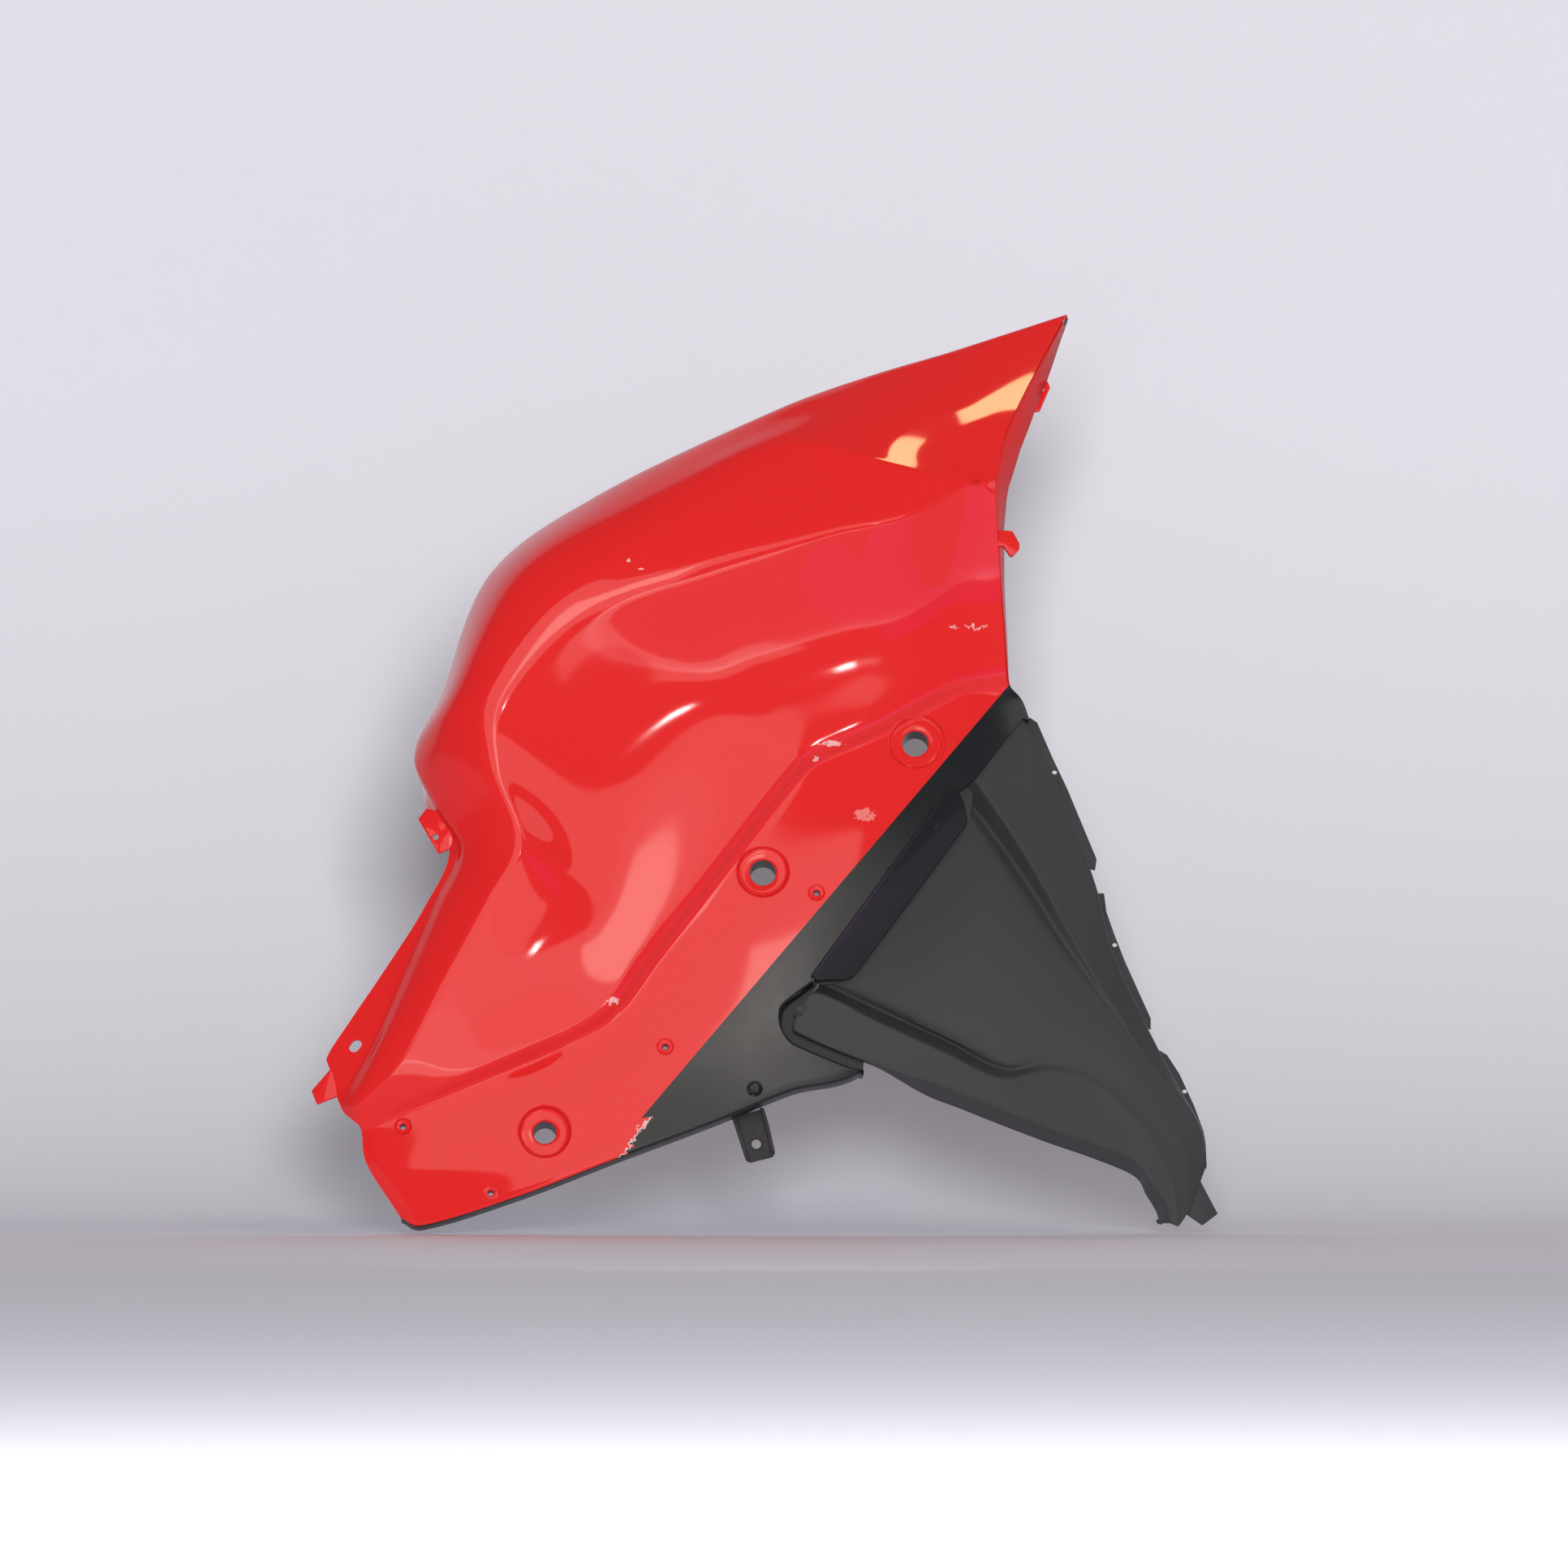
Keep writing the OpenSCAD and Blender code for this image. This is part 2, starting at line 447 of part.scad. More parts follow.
module lower_trim() {
    color(black) stance() difference() {
        union() {
            shell([for (t = trim_stations) trim_section(t)], trim_wall);
            plate(trim_margin, margin_h - trim_wall, margin_h);
            for (i = [0:2]) plate(lugs[i], lug_faces[i] - trim_wall, lug_faces[i]);
            plate(tongue, -24.5, -24.5 + trim_wall);
        }
        for (p = screw_places) at(p, margin_h) translate([0, 0, -trim_wall - 1])
            cylinder(r = screw_r + slack, h = trim_wall + 2);
        for (i = [0:2]) at(lug_holes[i], lug_faces[i]) translate([0, 0, -trim_wall - 2])
            cylinder(r = lug_hole_r, h = trim_wall + 4);
    }
}

// A pan-headed screw with a cross recess, its seat at the origin, pointing outwards
module screw() {
    difference() {
        translate([0, 0, -screw_head_h]) cylinder(r = screw_head_r, h = screw_head_h);
        for (a = [0, 90]) rotate([0, 0, a])
            translate([-2.4, -0.5, -screw_head_h - 1]) cube([4.8, 1, 2.4]);
    }
    cylinder(r = screw_r, h = trim_wall + screw_grip - 1.5);
    translate([0, 0, trim_wall + screw_grip - 1.5]) cylinder(r1 = screw_r, r2 = 0.6, h = 1.5);
}

module joining_screws() {
    color(steel) stance() for (p = screw_places) at(p, margin_h) translate([0, 0, -trim_wall]) screw();
}

painted_panel();
lower_trim();
joining_screws();
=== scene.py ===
import math
import bmesh
import bpy
import numpy as np
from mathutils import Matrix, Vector
from mathutils.bvhtree import BVHTree

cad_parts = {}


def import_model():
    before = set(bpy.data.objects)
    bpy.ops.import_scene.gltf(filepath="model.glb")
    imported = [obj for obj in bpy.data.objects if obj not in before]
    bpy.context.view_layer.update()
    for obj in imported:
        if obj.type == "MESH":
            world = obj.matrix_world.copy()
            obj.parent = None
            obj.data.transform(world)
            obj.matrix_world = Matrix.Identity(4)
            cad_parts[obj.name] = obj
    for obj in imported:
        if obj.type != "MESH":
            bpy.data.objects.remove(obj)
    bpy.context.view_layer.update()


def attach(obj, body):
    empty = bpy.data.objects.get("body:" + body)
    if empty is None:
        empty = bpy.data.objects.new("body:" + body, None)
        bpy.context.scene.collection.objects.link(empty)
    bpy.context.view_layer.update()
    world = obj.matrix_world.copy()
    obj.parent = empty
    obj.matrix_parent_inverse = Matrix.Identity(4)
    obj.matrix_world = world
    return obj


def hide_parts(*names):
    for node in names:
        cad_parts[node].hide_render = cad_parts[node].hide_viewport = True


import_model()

# What a user would change. Shapes are in millimetres; masking, wear with its painted highlights, and studio
# are in metres, but for the photograph's scale, pixel, in millimetres, and its centre, origin and frame, in
# pixels
panel = {
    "wall": 3.0, "stepRise": 6.0, "stepRun": 6.0, "scoop": 6.0, "bottomReturn": 12.0,
    "frontReturn": 14.0, "edgeRadius": 2.4, "footRadius": 2.6, "topRadius": 3.4,
    "shoulderRadius": 9.0, "noseRadius": 3.5, "ridgeRadius": 3.0, "stations": 200,
}
lens = {"place": (-142, -117), "turn": 22.0, "length": 25.0, "width": 6.0, "depth": 1.1}
lipShape = {"wall": 2.5, "angle": 30.0, "round": 1.0}
seats = {
    "recessRadius": 15.5, "recessDepth": 2.5, "tubeWall": 3.5, "tubeLength": 20.0, "steps": 96,
    "round": 1.6, "pinRing": 5.0, "pinDepth": 0.6, "pinHole": 1.8, "pinLength": 8.0,
    "dimple": 4.5,
}
tabShape = {"round": 0.7, "rib": 2.5, "ribRise": 2.0}
trim = {
    "wall": 2.5, "return": 12.0, "flare": 6.5, "cornerReturn": 3.5, "edgeRadius": 1.6, "stripRadius": 1.3,
    "hollowRadius": 3.0, "stations": 150,
}
screwShape = {
    "radius": 2.0, "headRadius": 4.5, "headHeight": 2.6, "grip": 9.0, "tip": 1.5,
    "crossLength": 4.8, "crossWidth": 1.0, "crossDepth": 1.4,
    "headRound": 0.8, "headSlope": 0.9, "tipRadius": 0.6,
}
paint = {
    "red": (0.76, 0.006, 0.006), "roughness": 0.62, "coat": 1.0, "edgeCoat": 0.15, "coatRoughness": 0.05,
    "flake": (0.75, 0.50, 0.49), "orangePeel": 0.012, "peelScale": 900.0,
}
bare = {"black": (0.022, 0.022, 0.024), "roughness": 0.42}
gloss = {"black": (0.011, 0.013, 0.015), "roughness": 0.17, "streaks": 0.10, "streakScale": 60.0}
matt = {"black": (0.040, 0.040, 0.042), "roughness": 0.46, "grain": 0.10, "grainSize": 1500.0}
masking = {
    "line": ((-0.0745, -0.1505), (0.1515, 0.115)), "chipLine": ((-0.0850, -0.1730), (-0.0645, -0.1450)),
    "foot": -0.1410, "footSlope": 0.13, "ragged": 0.016, "raggedScale": 230.0, "flakeWidth": 0.0008,
    "patchy": 0.42,
}
wearAndHighlights = {
    # bright is the colour of the painted highlights and of the tiny wear marks
    "pale": (0.85, 0.20, 0.18), "bright": (0.86, 0.45, 0.43), "grain": 420.0, "patchy": 0.42,
    "smudge": ((0.0625, 0.036), (0.0075, 0.0050)), "tiny": [((-0.0825, 0.1925), (0.0016, 0.0012)),
        ((-0.075, 0.187), (0.0022, 0.0007))],
    # Painted highlights on the step's fillet
    "stepHighlights": [((0.0425, 0.0795), (0.0080, 0.0022)), ((0.0330, 0.0700), (0.0030, 0.0020)),
        ((-0.092, -0.0790), (0.0040, 0.0030))],
    # A thin wavy line of painted reflection near the front edge, broken into dashes
    "frontGlint": (0.1150, 0.1390, 0.1515, 0.0005), "glintWaver": 0.012,
}
steel = {"colour": (0.62, 0.63, 0.65), "roughness": 0.32}
studio = {
    "pixel": 0.5, "centre": (966.0, 966.0), "origin": (940.0, 1075.0), "frame": 1932.0,
    "distance": 13.0, "floor": -0.2222, "backdrop": (0.12, 0.118, 0.13), "fill": 0.16,
    "floorTint": (0.83, 0.815, 0.88), "cardPlane": -1.0, "cardGap": 0.002,
    "cards": [(-0.30, 0.00, 0.02, 0.62, 1.3), (0.00, 0.13, 0.02, 0.55, 1.4), (-0.10, 0.13, -0.45, 0.02, 1.8),
        (0.13, 0.48, 0.31, 0.50, 1.2), (0.13, 0.275, 0.02, 0.125, 1.3), (0.62, 1.20, 0.50, 0.95, 1.2),
        (-0.01, 0.085, 0.30, 0.47, 3.2)],
    "cardTint": (1.0, 0.92, 0.85), "roseCard": (0.34, 0.75, -0.35, 0.20, 0.45), "roseTint": (0.7, 0.0, 1.0),
    "aim": (0.05, 0.0, 0.08), "keyPlace": (1.0, 5.0), "keyDistance": 7.4, "keySize": 0.9, "keyWatts": 412.0,
    "lampPlace": (0.344, -0.485, 1.349), "lampAim": (0.13, -0.05, 0.28), "lampSize": (0.13, 0.13),
    "lampGlow": 18.0,
    "lampTint": (1.0, 0.72, 0.35), "flashPlace": (0.72, -2.95, 0.549), "flashSize": (0.068, 0.042),
    "flashGlow": 40.0,
}

lean = math.radians(14.0)
sinLean, cosLean = math.sin(lean), math.cos(lean)

# Rails on the side view: (station, x, z, height above the band)
rails = {
    "bottomEdge": [
        (-0.4, -222, -213, -12), (0, -209, -217.5, -10), (1, -150, -199.5, -5), (2, -90, -176.5, -3),
        (3, -30, -154, -2), (4, 17, -135, -2), (5, 64, -120, -3), (6, 105, -57, -4),
        (7, 125, -12, -5), (8, 138, 23, -6), (9, 150, 53, -8), (10, 158, 76, -10), (11, 165, 93, -13)],
    "bandMiddle": [
        (-0.4, -243, -180, -7), (0, -228, -182, -4.5), (1, -158, -162, -1), (2, -103, -140, 0),
        (3, -63, -117, 0), (4, -28, -95, 0), (5, 12, -68, 0), (6, 48, -15, -0.5), (7, 73, 27, -1),
        (8, 88, 53, -2), (9, 113, 73, -4), (10, 138, 95, -7.5), (11, 160, 106, -12)],
    "stepLine": [
        (-0.4, -248, -156, -5), (0, -240, -152, -3), (1, -163, -118, -1), (2, -114, -96.5, 0),
        (3, -92, -81, 0), (4, -70, -51, 0), (5, -40, -12.5, 0), (6, -10, 26.5, 0), (7, 16, 59, 0),
        (8, 31, 72, -0.5), (9, 70, 89, -2), (10, 113, 112, -5), (10.5, 129, 116.5, -7),
        (11, 151.5, 120, -9)],
    "shoulder": [
        (-0.4, -252, -152.5, -3.5), (0, -247, -144, 3), (1, -222.5, -115, 10), (2, -197, -67, 17),
        (3, -170, -17.5, 23), (4, -150, 20, 27), (5, -164, 65, 33), (6, -160, 106.5, 38),
        (7, -110, 159, 42), (8, -45, 186, 43), (9, 42.5, 211, 40), (9.5, 85, 219, 37),
        (10, 123.5, 237, 31), (11, 143.5, 235, 26)],
    "bulgeLine": [
        (-0.4, -254, -151, -4), (0, -249, -143, 3), (1, -227, -113, 9), (2, -204, -68, 15),
        (3, -179, -19, 20), (4, -161, 20, 25), (5, -178, 75, 32), (6, -171, 115, 38),
        (7, -125, 175, 43), (8, -62.5, 221, 40), (9, 22.5, 263, 33), (9.5, 70, 254, 35),
        (10, 123.5, 239, 31), (11, 144, 242.5, 26)],
    "browLine": [
        (-0.4, -256, -149.5, -4.5), (0, -250.5, -142, 2.5), (1, -231, -110.5, 8),
        (2, -211, -69, 12.5), (3, -188, -20.5, 17), (4, -172, 18, 21), (5, -198, 77.5, 22),
        (6, -187.5, 116, 28), (7, -150, 185, 34), (8, -84, 230, 29), (9, 22.5, 281.5, 20),
        (9.5, 75, 285, 21), (10, 115, 281, 21), (11, 155, 280.5, 17)],
    "ridge": [
        (-0.4, -258, -147.5, -5), (0, -252, -140.5, 2), (1, -235, -107.5, 6), (2, -217.5, -69.5, 9),
        (3, -197.5, -21.5, 12), (4, -184, 14, 14), (4.5, -200, 40, 8), (5, -214.5, 70, 0),
        (6, -197.5, 112.5, -2), (7, -167.5, 185, 0), (8, -100, 233.5, 8), (9, 10, 286, 12),
        (9.5, 62.5, 305, 8), (10, 120, 323.5, 2), (11, 190, 346.5, -8)],
    "flangeRoot": [
        (-0.4, -262, -138.5, -5.5), (0, -257, -135, -4), (1, -240, -106.5, -1), (2, -223, -67.5, 2),
        (3, -202, -18.5, 5), (4, -188.5, 16, 6), (4.5, -205, 40, -4), (5, -213.5, 71.5, -16),
        (6, -195.5, 114, -20), (7, -164, 183.5, -18), (8, -97.5, 231.5, -8), (9, 11, 283.5, -2),
        (10, 120, 321, -8), (11, 189, 343.5, -16)],
    "flangeEdge": [
        (-0.4, -266.5, -120.5, -7), (0, -268, -114, -6), (1, -254, -92, -4), (2, -231, -58, -1),
        (3, -208, -21.5, 3), (4, -193, 14, 4), (4.5, -207.5, 38, -12), (5, -210, 74, -32),
        (6, -192, 116.5, -38), (7, -159, 183.5, -36), (8, -94, 229, -24), (9, 12.5, 280.5, -14),
        (10, 120, 318.5, -18), (11, 188, 340.5, -24)],
    "trimLow": [
        (-0.2, 18.5, -92.5, -5), (0, 20, -98.5, -5), (1, 66, -118, -7), (2, 110, -132.5, -9),
        (3, 145, -146, -11), (4, 175, -157.5, -13), (5, 202, -167, -15), (6, 227.5, -178, -17),
        (7, 237, -190, -18), (8, 246, -203, -19.5), (9, 250, -216, -21)],
    "stripLow": [
        (-0.2, 22, -87.5, -3), (0, 31, -74.5, -2), (1, 70, -92, -3), (2, 110, -110.5, -4),
        (3, 146, -127, -6), (4, 175, -122.5, -9), (5, 200, -128, -11), (6, 225, -147, -13),
        (7, 241, -168, -15.5), (8, 252, -193, -18), (9, 255, -218, -20.5)],
    "hollowLow": [
        (-0.2, 35.5, -68, -20), (0, 38, -70, -20), (1, 75, -87, -19), (2, 113, -104, -17),
        (3, 148, -121, -14), (4, 176, -118, -11), (5, 201, -125, -11.5), (6, 226, -143, -13.2),
        (7, 243, -164, -15.5), (8, 254, -189, -18), (9, 257, -216, -20.5)],
    "shelfLow": [
        (-0.2, 52.5, -63, -15), (0, 55, -65, -15), (1, 86, -81, -12), (2, 119, -99, -10.5),
        (3, 151, -115, -9.5), (4, 178, -113, -10), (5, 203, -121, -11.3), (6, 228, -139, -13.2),
        (7, 246, -160, -15.5), (8, 257, -184, -18), (9, 259, -213, -20.5)],
    "crown": [
        (-0.2, 87.5, -16, -14.5), (0, 90, -18, -14.5), (1, 118, -40, -9.5), (2, 143, -61, -8),
        (3, 168, -81, -8), (4, 193, -96, -9), (5, 215, -110, -10.6), (6, 234, -132, -12.8),
        (7, 250, -153, -15.2), (8, 261, -177, -17.8), (9, 261.5, -209, -20.5)],
    "shelfHigh": [
        (-0.2, 121.5, 28, -15.5), (0, 124, 26, -15.5), (1, 142, 3, -12), (2, 161, -23.5, -10.5),
        (3, 180, -49, -10), (4, 202, -76, -10.3), (5, 221, -98, -11.2), (6, 238, -125, -13.2),
        (7, 254, -147, -15.6), (8, 264.5, -170, -18.1), (9, 264, -203, -20.7)],
    "hollowHigh": [
        (-0.2, 124.5, 45, -22), (0, 127, 43, -22), (1, 146, 18, -20), (2, 166, -11, -17),
        (3, 183, -39, -14.5), (4, 204, -70, -12), (5, 222.5, -97, -11.6), (6, 239.5, -123, -13.7),
        (7, 256.5, -144, -16), (8, 267.5, -166, -18.4), (9, 265.5, -199, -21)],
    "stripHigh": [
        (-0.2, 129, 58.5, -9), (0, 131, 56, -9), (1, 150, 28.5, -8.5), (2, 168.5, -1.5, -9),
        (3, 184.5, -30, -9.5), (4, 205, -66, -10.5), (5, 224, -95, -11.5), (6, 241, -120, -14),
        (7, 259, -141, -16.3), (8, 270, -162.5, -18.7), (9, 267, -196, -21.2)],
    "trimFront": [
        (-0.2, 159, 97, -16), (0, 161, 94, -16), (1, 180, 55, -17), (2, 196, 18, -17.5),
        (3, 207, -14, -18), (4, 214.5, -46, -18.5), (5, 228, -77, -19), (6, 244, -110, -20),
        (7, 260, -139, -21), (8, 271, -160, -22), (9, 273, -180, -23)],
}
rails = {name: np.array(rows, float) for name, rows in rails.items()}

# Places on the side view
bores = [((94, 79.5), -1.2, 8.0), ((0, 0), 0.0, 8.0), ((-134, -159.5), -1.5, 7.0)]
pinHoles = [((33, -13), -0.3), ((-60, -107.5), 0.0), ((-221, -156.5), -3.6), ((-167, -197), -4.6)]
dimplePlace = (-5, -133.5)
slotPlace, slotLength, slotWidth, slotTurn = (-250.5, -107), 8.5, 6.0, 50.0
screwPlaces = [(52, -38), (80, -4), (104, 26)]
marginHeight = -16.0
lipLine = [(35, -67), (121, 51)]
lipOutline = [(33, -67), (49.5, -67), (55, -65.5), (58.5, -61.5), (70, -46.5), (126.5, 29.5),
    (125.8, 36), (124.5, 42), (120, 51.5), (114, 50), (30, -64)]
trimOpening = [(190, 90), (160.5, 97.5), (131.5, 59), (121, 51), (31, -67.5)]
recessRim = [(62, -121.5), (50, -118), (24, -107.5), (16.5, -103), (11.5, -95), (10.8, -87),
    (14, -80.5), (31, -67.5)]
openingFoot = [(64.5, -130), (190, -130)]
recessFloor, ledgeThickness = -13.5, 2.5
ledgeInner = [(34, -65), (33.3, -67.3), (26.4, -77.2), (22.8, -85), (20.5, -89), (20.5, -93), (23, -96.5),
    (28, -99.5), (50, -108.5), (62, -113)]
frontFlare = [(100, 0), (150, 1.5), (178, 2), (215, 4.5), (245, 9.5), (277, 12), (309, 8), (335, 2), (347, 0)]
plates = {
    "rearTab": ([(-207.5, 38), (-212.5, 31.5), (-200, 10), (-195, 12), (-187, 16), (-190, 34)],
        1.0, 4.0, (-201.5, 21), 1.8),
    "cornerTab": ([(-264, -119), (-277.5, -134.5), (-274, -143), (-259, -137)], -8.5, -5.5, None, 0),
    "frontTab": ([(160, 297), (166, 312), (173, 311), (178, 300), (171.5, 285), (160, 283)],
        -9.0, -6.0, (172.5, 298.5), 1.8),
    "hook": ([(138, 207), (154, 207), (158.5, 199), (158.5, 195.5), (154.5, 191.5), (152.5, 191.5),
        (148.5, 197.5), (138, 197.5)], 9.0, 15.0, None, 0),
    "bottomTab": ([(-19, -151), (0.5, -145.5), (3.5, -155), (7.5, -172.5), (6, -175), (-8, -178.5),
        (-10.5, -177), (-16, -160)], -15.0, -12.0, (-4, -167.5), 3.0),
    "tongue": ([(258, -196), (268.5, -189), (279.5, -210), (270, -217), (260, -210)],
        -24.5, -22.0, None, 0),
    "lugHigh": ([(160, 90), (165, 95), (169.5, 92), (179, 70), (188, 51), (206, 7.5), (205, 1),
        (197, 3)], -29.0, -26.5, (180.2, 61), 1.5),
    "lugMiddle": ([(203, -17), (206.5, -13.5), (210.5, -13.5), (212, -25), (216.5, -38),
        (223.5, -56), (239, -90.5), (239, -97), (232, -95)], -31.0, -28.5, (217, -45.5), 1.5),
    "lugLow": ([(239, -112), (244, -110), (249, -113), (256.5, -124.5), (265.5, -144),
        (271.5, -160.5), (271, -167), (265, -166)], -33.5, -31.0, (259.8, -135.5), 1.5),
    "trimMargin": ([(52, -68), (62, -64), (127.5, 30), (131, 57), (117, 60), (104, 46), (27, -51),
        (28.5, -66), (36, -70)],
        marginHeight - 2.5, marginHeight, None, 0),
}


# Geometry of the lofts
def seen(x, z, h):
    return np.array([x, (z - h * sinLean) / cosLean, h])


def toWorld(points):
    p = np.asarray(points, float)
    out = p[:, 2] + seats["recessDepth"]
    return np.column_stack([p[:, 0], p[:, 1] * sinLean - out * cosLean,
        p[:, 1] * cosLean + out * sinLean]) / 1000.0


def ease(a, b, t):
    k = min(1.0, max(0.0, (t - a) / (b - a)))
    return k * k * (3 - 2 * k)


def mix(a, b, k):
    return a * (1 - k) + b * k


def hermite(p, q, u, v, k):
    return (p * (2 * k ** 3 - 3 * k ** 2 + 1) + u * (k ** 3 - 2 * k ** 2 + k)
        + q * (3 * k ** 2 - 2 * k ** 3) + v * (k ** 3 - k ** 2))


def onRail(name, t):
    rows = rails[name]
    last = len(rows) - 1
    i = int(np.clip(np.searchsorted(rows[:, 0], t, "right") - 1, 0, last - 1))

    def slope(j):
        a, b = max(0, j - 1), min(last, j + 1)
        return (rows[b] - rows[a]) / (rows[b][0] - rows[a][0])

    width = rows[i + 1][0] - rows[i][0]
    p = hermite(rows[i], rows[i + 1], slope(i) * width, slope(i + 1) * width,
        (t - rows[i][0]) / width)
    return seen(p[1], p[2], p[3])


def smooth(points, steps=12):
    p = np.array(points)
    last = len(p) - 1
    slopes = [p[1] - p[0]] + [(p[i + 1] - p[i - 1]) / 2 for i in range(1, last)] + [p[last] - p[last - 1]]
    rows = [hermite(p[i], p[i + 1], slopes[i], slopes[i + 1], j / steps)
        for i in range(last) for j in range(steps)]
    return np.array(rows + [p[last]])


def straight(points, steps=12):
    p = np.array(points)
    rows = [mix(p[i], p[i + 1], j / steps) for i in range(len(p) - 1) for j in range(steps)]
    return np.array(rows + [p[-1]])


def resample(points, count, cutStart, cutEnd):
    along = np.concatenate([[0], np.cumsum(np.linalg.norm(np.diff(points, axis=0), axis=1))])
    where = np.linspace(cutStart, along[-1] - cutEnd, count)
    return np.column_stack([np.interp(where, along, points[:, k]) for k in range(3)])


# Joins stretches of a section with a rounded corner between each two of them
def rounded(stretches, counts, radii, cornerSteps=5):
    lengths = [np.linalg.norm(np.diff(s, axis=0), axis=1).sum() for s in stretches]
    cuts = [min(r, 0.42 * lengths[i], 0.42 * lengths[i + 1]) for i, r in enumerate(radii)]
    pieces = [resample(s, counts[i], cuts[i - 1] if i else 0, cuts[i] if i < len(cuts) else 0)
        for i, s in enumerate(stretches)]
    rows = [pieces[0]]
    for i in range(len(cuts)):
        a, corner, b = pieces[i][-1], stretches[i][-1], pieces[i + 1][0]
        k = np.linspace(0, 1, cornerSteps + 2)[1:-1, None]
        rows += [(1 - k) ** 2 * a + 2 * k * (1 - k) * corner + k ** 2 * b, pieces[i + 1]]
    return np.vstack(rows)


def panelSection(t):
    low, middle, line = onRail("bottomEdge", t), onRail("bandMiddle", t), onRail("stepLine", t)
    ahead = onRail("stepLine", min(t + 0.1, 11)) - onRail("stepLine", max(t - 0.1, -0.4))
    across = np.array([ahead[1], -ahead[0], 0.0])
    across /= np.linalg.norm(across)
    foot = line + panel["stepRun"] * across * mix(0.6, 1, ease(-0.4, 1, t))
    share = mix(0.15, 1, ease(-0.4, 1, t)) * mix(1, 0.7, ease(9.5, 11, t))
    top = line + np.array([0, 0, panel["stepRise"] * share])
    crest = onRail("shoulder", t)
    dip = panel["scoop"] * ease(0, 6, t) * mix(1, 0.5, ease(9, 11, t))
    hollow = mix(top, crest, 0.5) - np.array([0, 0, dip])
    bulge, brow = onRail("bulgeLine", t), onRail("browLine", t)
    edge, root, rim = onRail("ridge", t), onRail("flangeRoot", t), onRail("flangeEdge", t)
    soft = smooth([crest, bulge, brow, edge, root, rim])
    firm = np.vstack([smooth([crest, bulge])[:-1], smooth([bulge, brow, edge])[:-1],
        straight([edge, root, rim])])
    nose = ease(8.6, 9.4, t)
    crisp = max(1 - ease(4, 4.8, t), ease(9.2, 10, t))
    weight = np.where(np.arange(len(soft)) < 24, nose, crisp)[:, None]
    back = mix(soft, firm, weight)
    stretches = [straight([low - np.array([0, 0, panel["bottomReturn"]]), low]),
        smooth([low, middle, foot]), straight([foot, top]), smooth([top, hollow, crest]),
        back[:13], back[12:37], back[36:49], back[48:]]
    radii = [panel["edgeRadius"], panel["footRadius"], panel["topRadius"],
        mix(mix(panel["noseRadius"], panel["shoulderRadius"], ease(3.2, 4.8, t)),
            panel["noseRadius"], ease(8, 9.8, t)),
        mix(4.0, 2.0, nose), mix(1.0, panel["ridgeRadius"], crisp), mix(1.0, 2.5, crisp)]
    return rounded(stretches, [3, 30, 4, 34, 14, 24, 5, 6], radii)


# Shallow lens in the band under the step
def lensDent(points):
    centre = seen(*lens["place"], 0)
    turnBy = math.radians(lens["turn"])
    dx, dy = points[..., 0] - centre[0], points[..., 1] - centre[1]
    u = (dx * math.cos(turnBy) + dy * math.sin(turnBy)) / lens["length"]
    v = (dy * math.cos(turnBy) - dx * math.sin(turnBy)) / lens["width"]
    return lens["depth"] * np.clip(1 - u * u - v * v, 0, 1) ** 1.5


def trimSection(t):
    points = {k: onRail(k, t) for k in ("trimLow", "stripLow", "hollowLow", "shelfLow", "crown",
        "shelfHigh", "hollowHigh", "stripHigh", "trimFront")}
    depth = mix(trim["cornerReturn"], trim["return"], ease(1, 1.8, t))
    down = np.array([0, 0, 1.0])
    away = (points["trimLow"] - points["stripLow"]) * np.array([1, 1, 0])
    away *= trim["flare"] * ease(1, 2, t) / np.linalg.norm(away)
    stretches = [straight([points["trimLow"] - down * depth + away, points["trimLow"]]),
        straight([points["trimLow"], points["stripLow"]]),
        straight([points["stripLow"], points["hollowLow"]]),
        smooth([points[k] for k in ("hollowLow", "shelfLow", "crown", "shelfHigh", "hollowHigh")]),
        straight([points["hollowHigh"], points["stripHigh"]]),
        straight([points["stripHigh"], points["trimFront"]]),
        straight([points["trimFront"], points["trimFront"] - down * trim["return"]])]
    radii = [trim["edgeRadius"], trim["stripRadius"], trim["hollowRadius"], trim["hollowRadius"],
        trim["stripRadius"], trim["edgeRadius"]]
    return rounded(stretches, [4, 12, 6, 44, 6, 10, 4], radii, 4)


# Meshes
def makeMesh(name, vertices, faces, material=None, flags=None, isSmooth=True):
    mesh = bpy.data.meshes.new(name)
    mesh.from_pydata([tuple(v) for v in vertices], [], [tuple(f) for f in faces])
    mesh.validate()
    if flags is not None:
        mesh.polygons.foreach_set("material_index", flags)
    mesh.polygons.foreach_set("use_smooth", [isSmooth] * len(mesh.polygons))
    obj = bpy.data.objects.new(name, mesh)
    bpy.context.scene.collection.objects.link(obj)
    for m in material or []:
        mesh.materials.append(m)
    return obj


def gridNormals(g):
    a = np.gradient(g, axis=0)
    b = np.gradient(g, axis=1)
    n = np.cross(a, b)
    return n / np.maximum(np.linalg.norm(n, axis=2, keepdims=True), 1e-9)


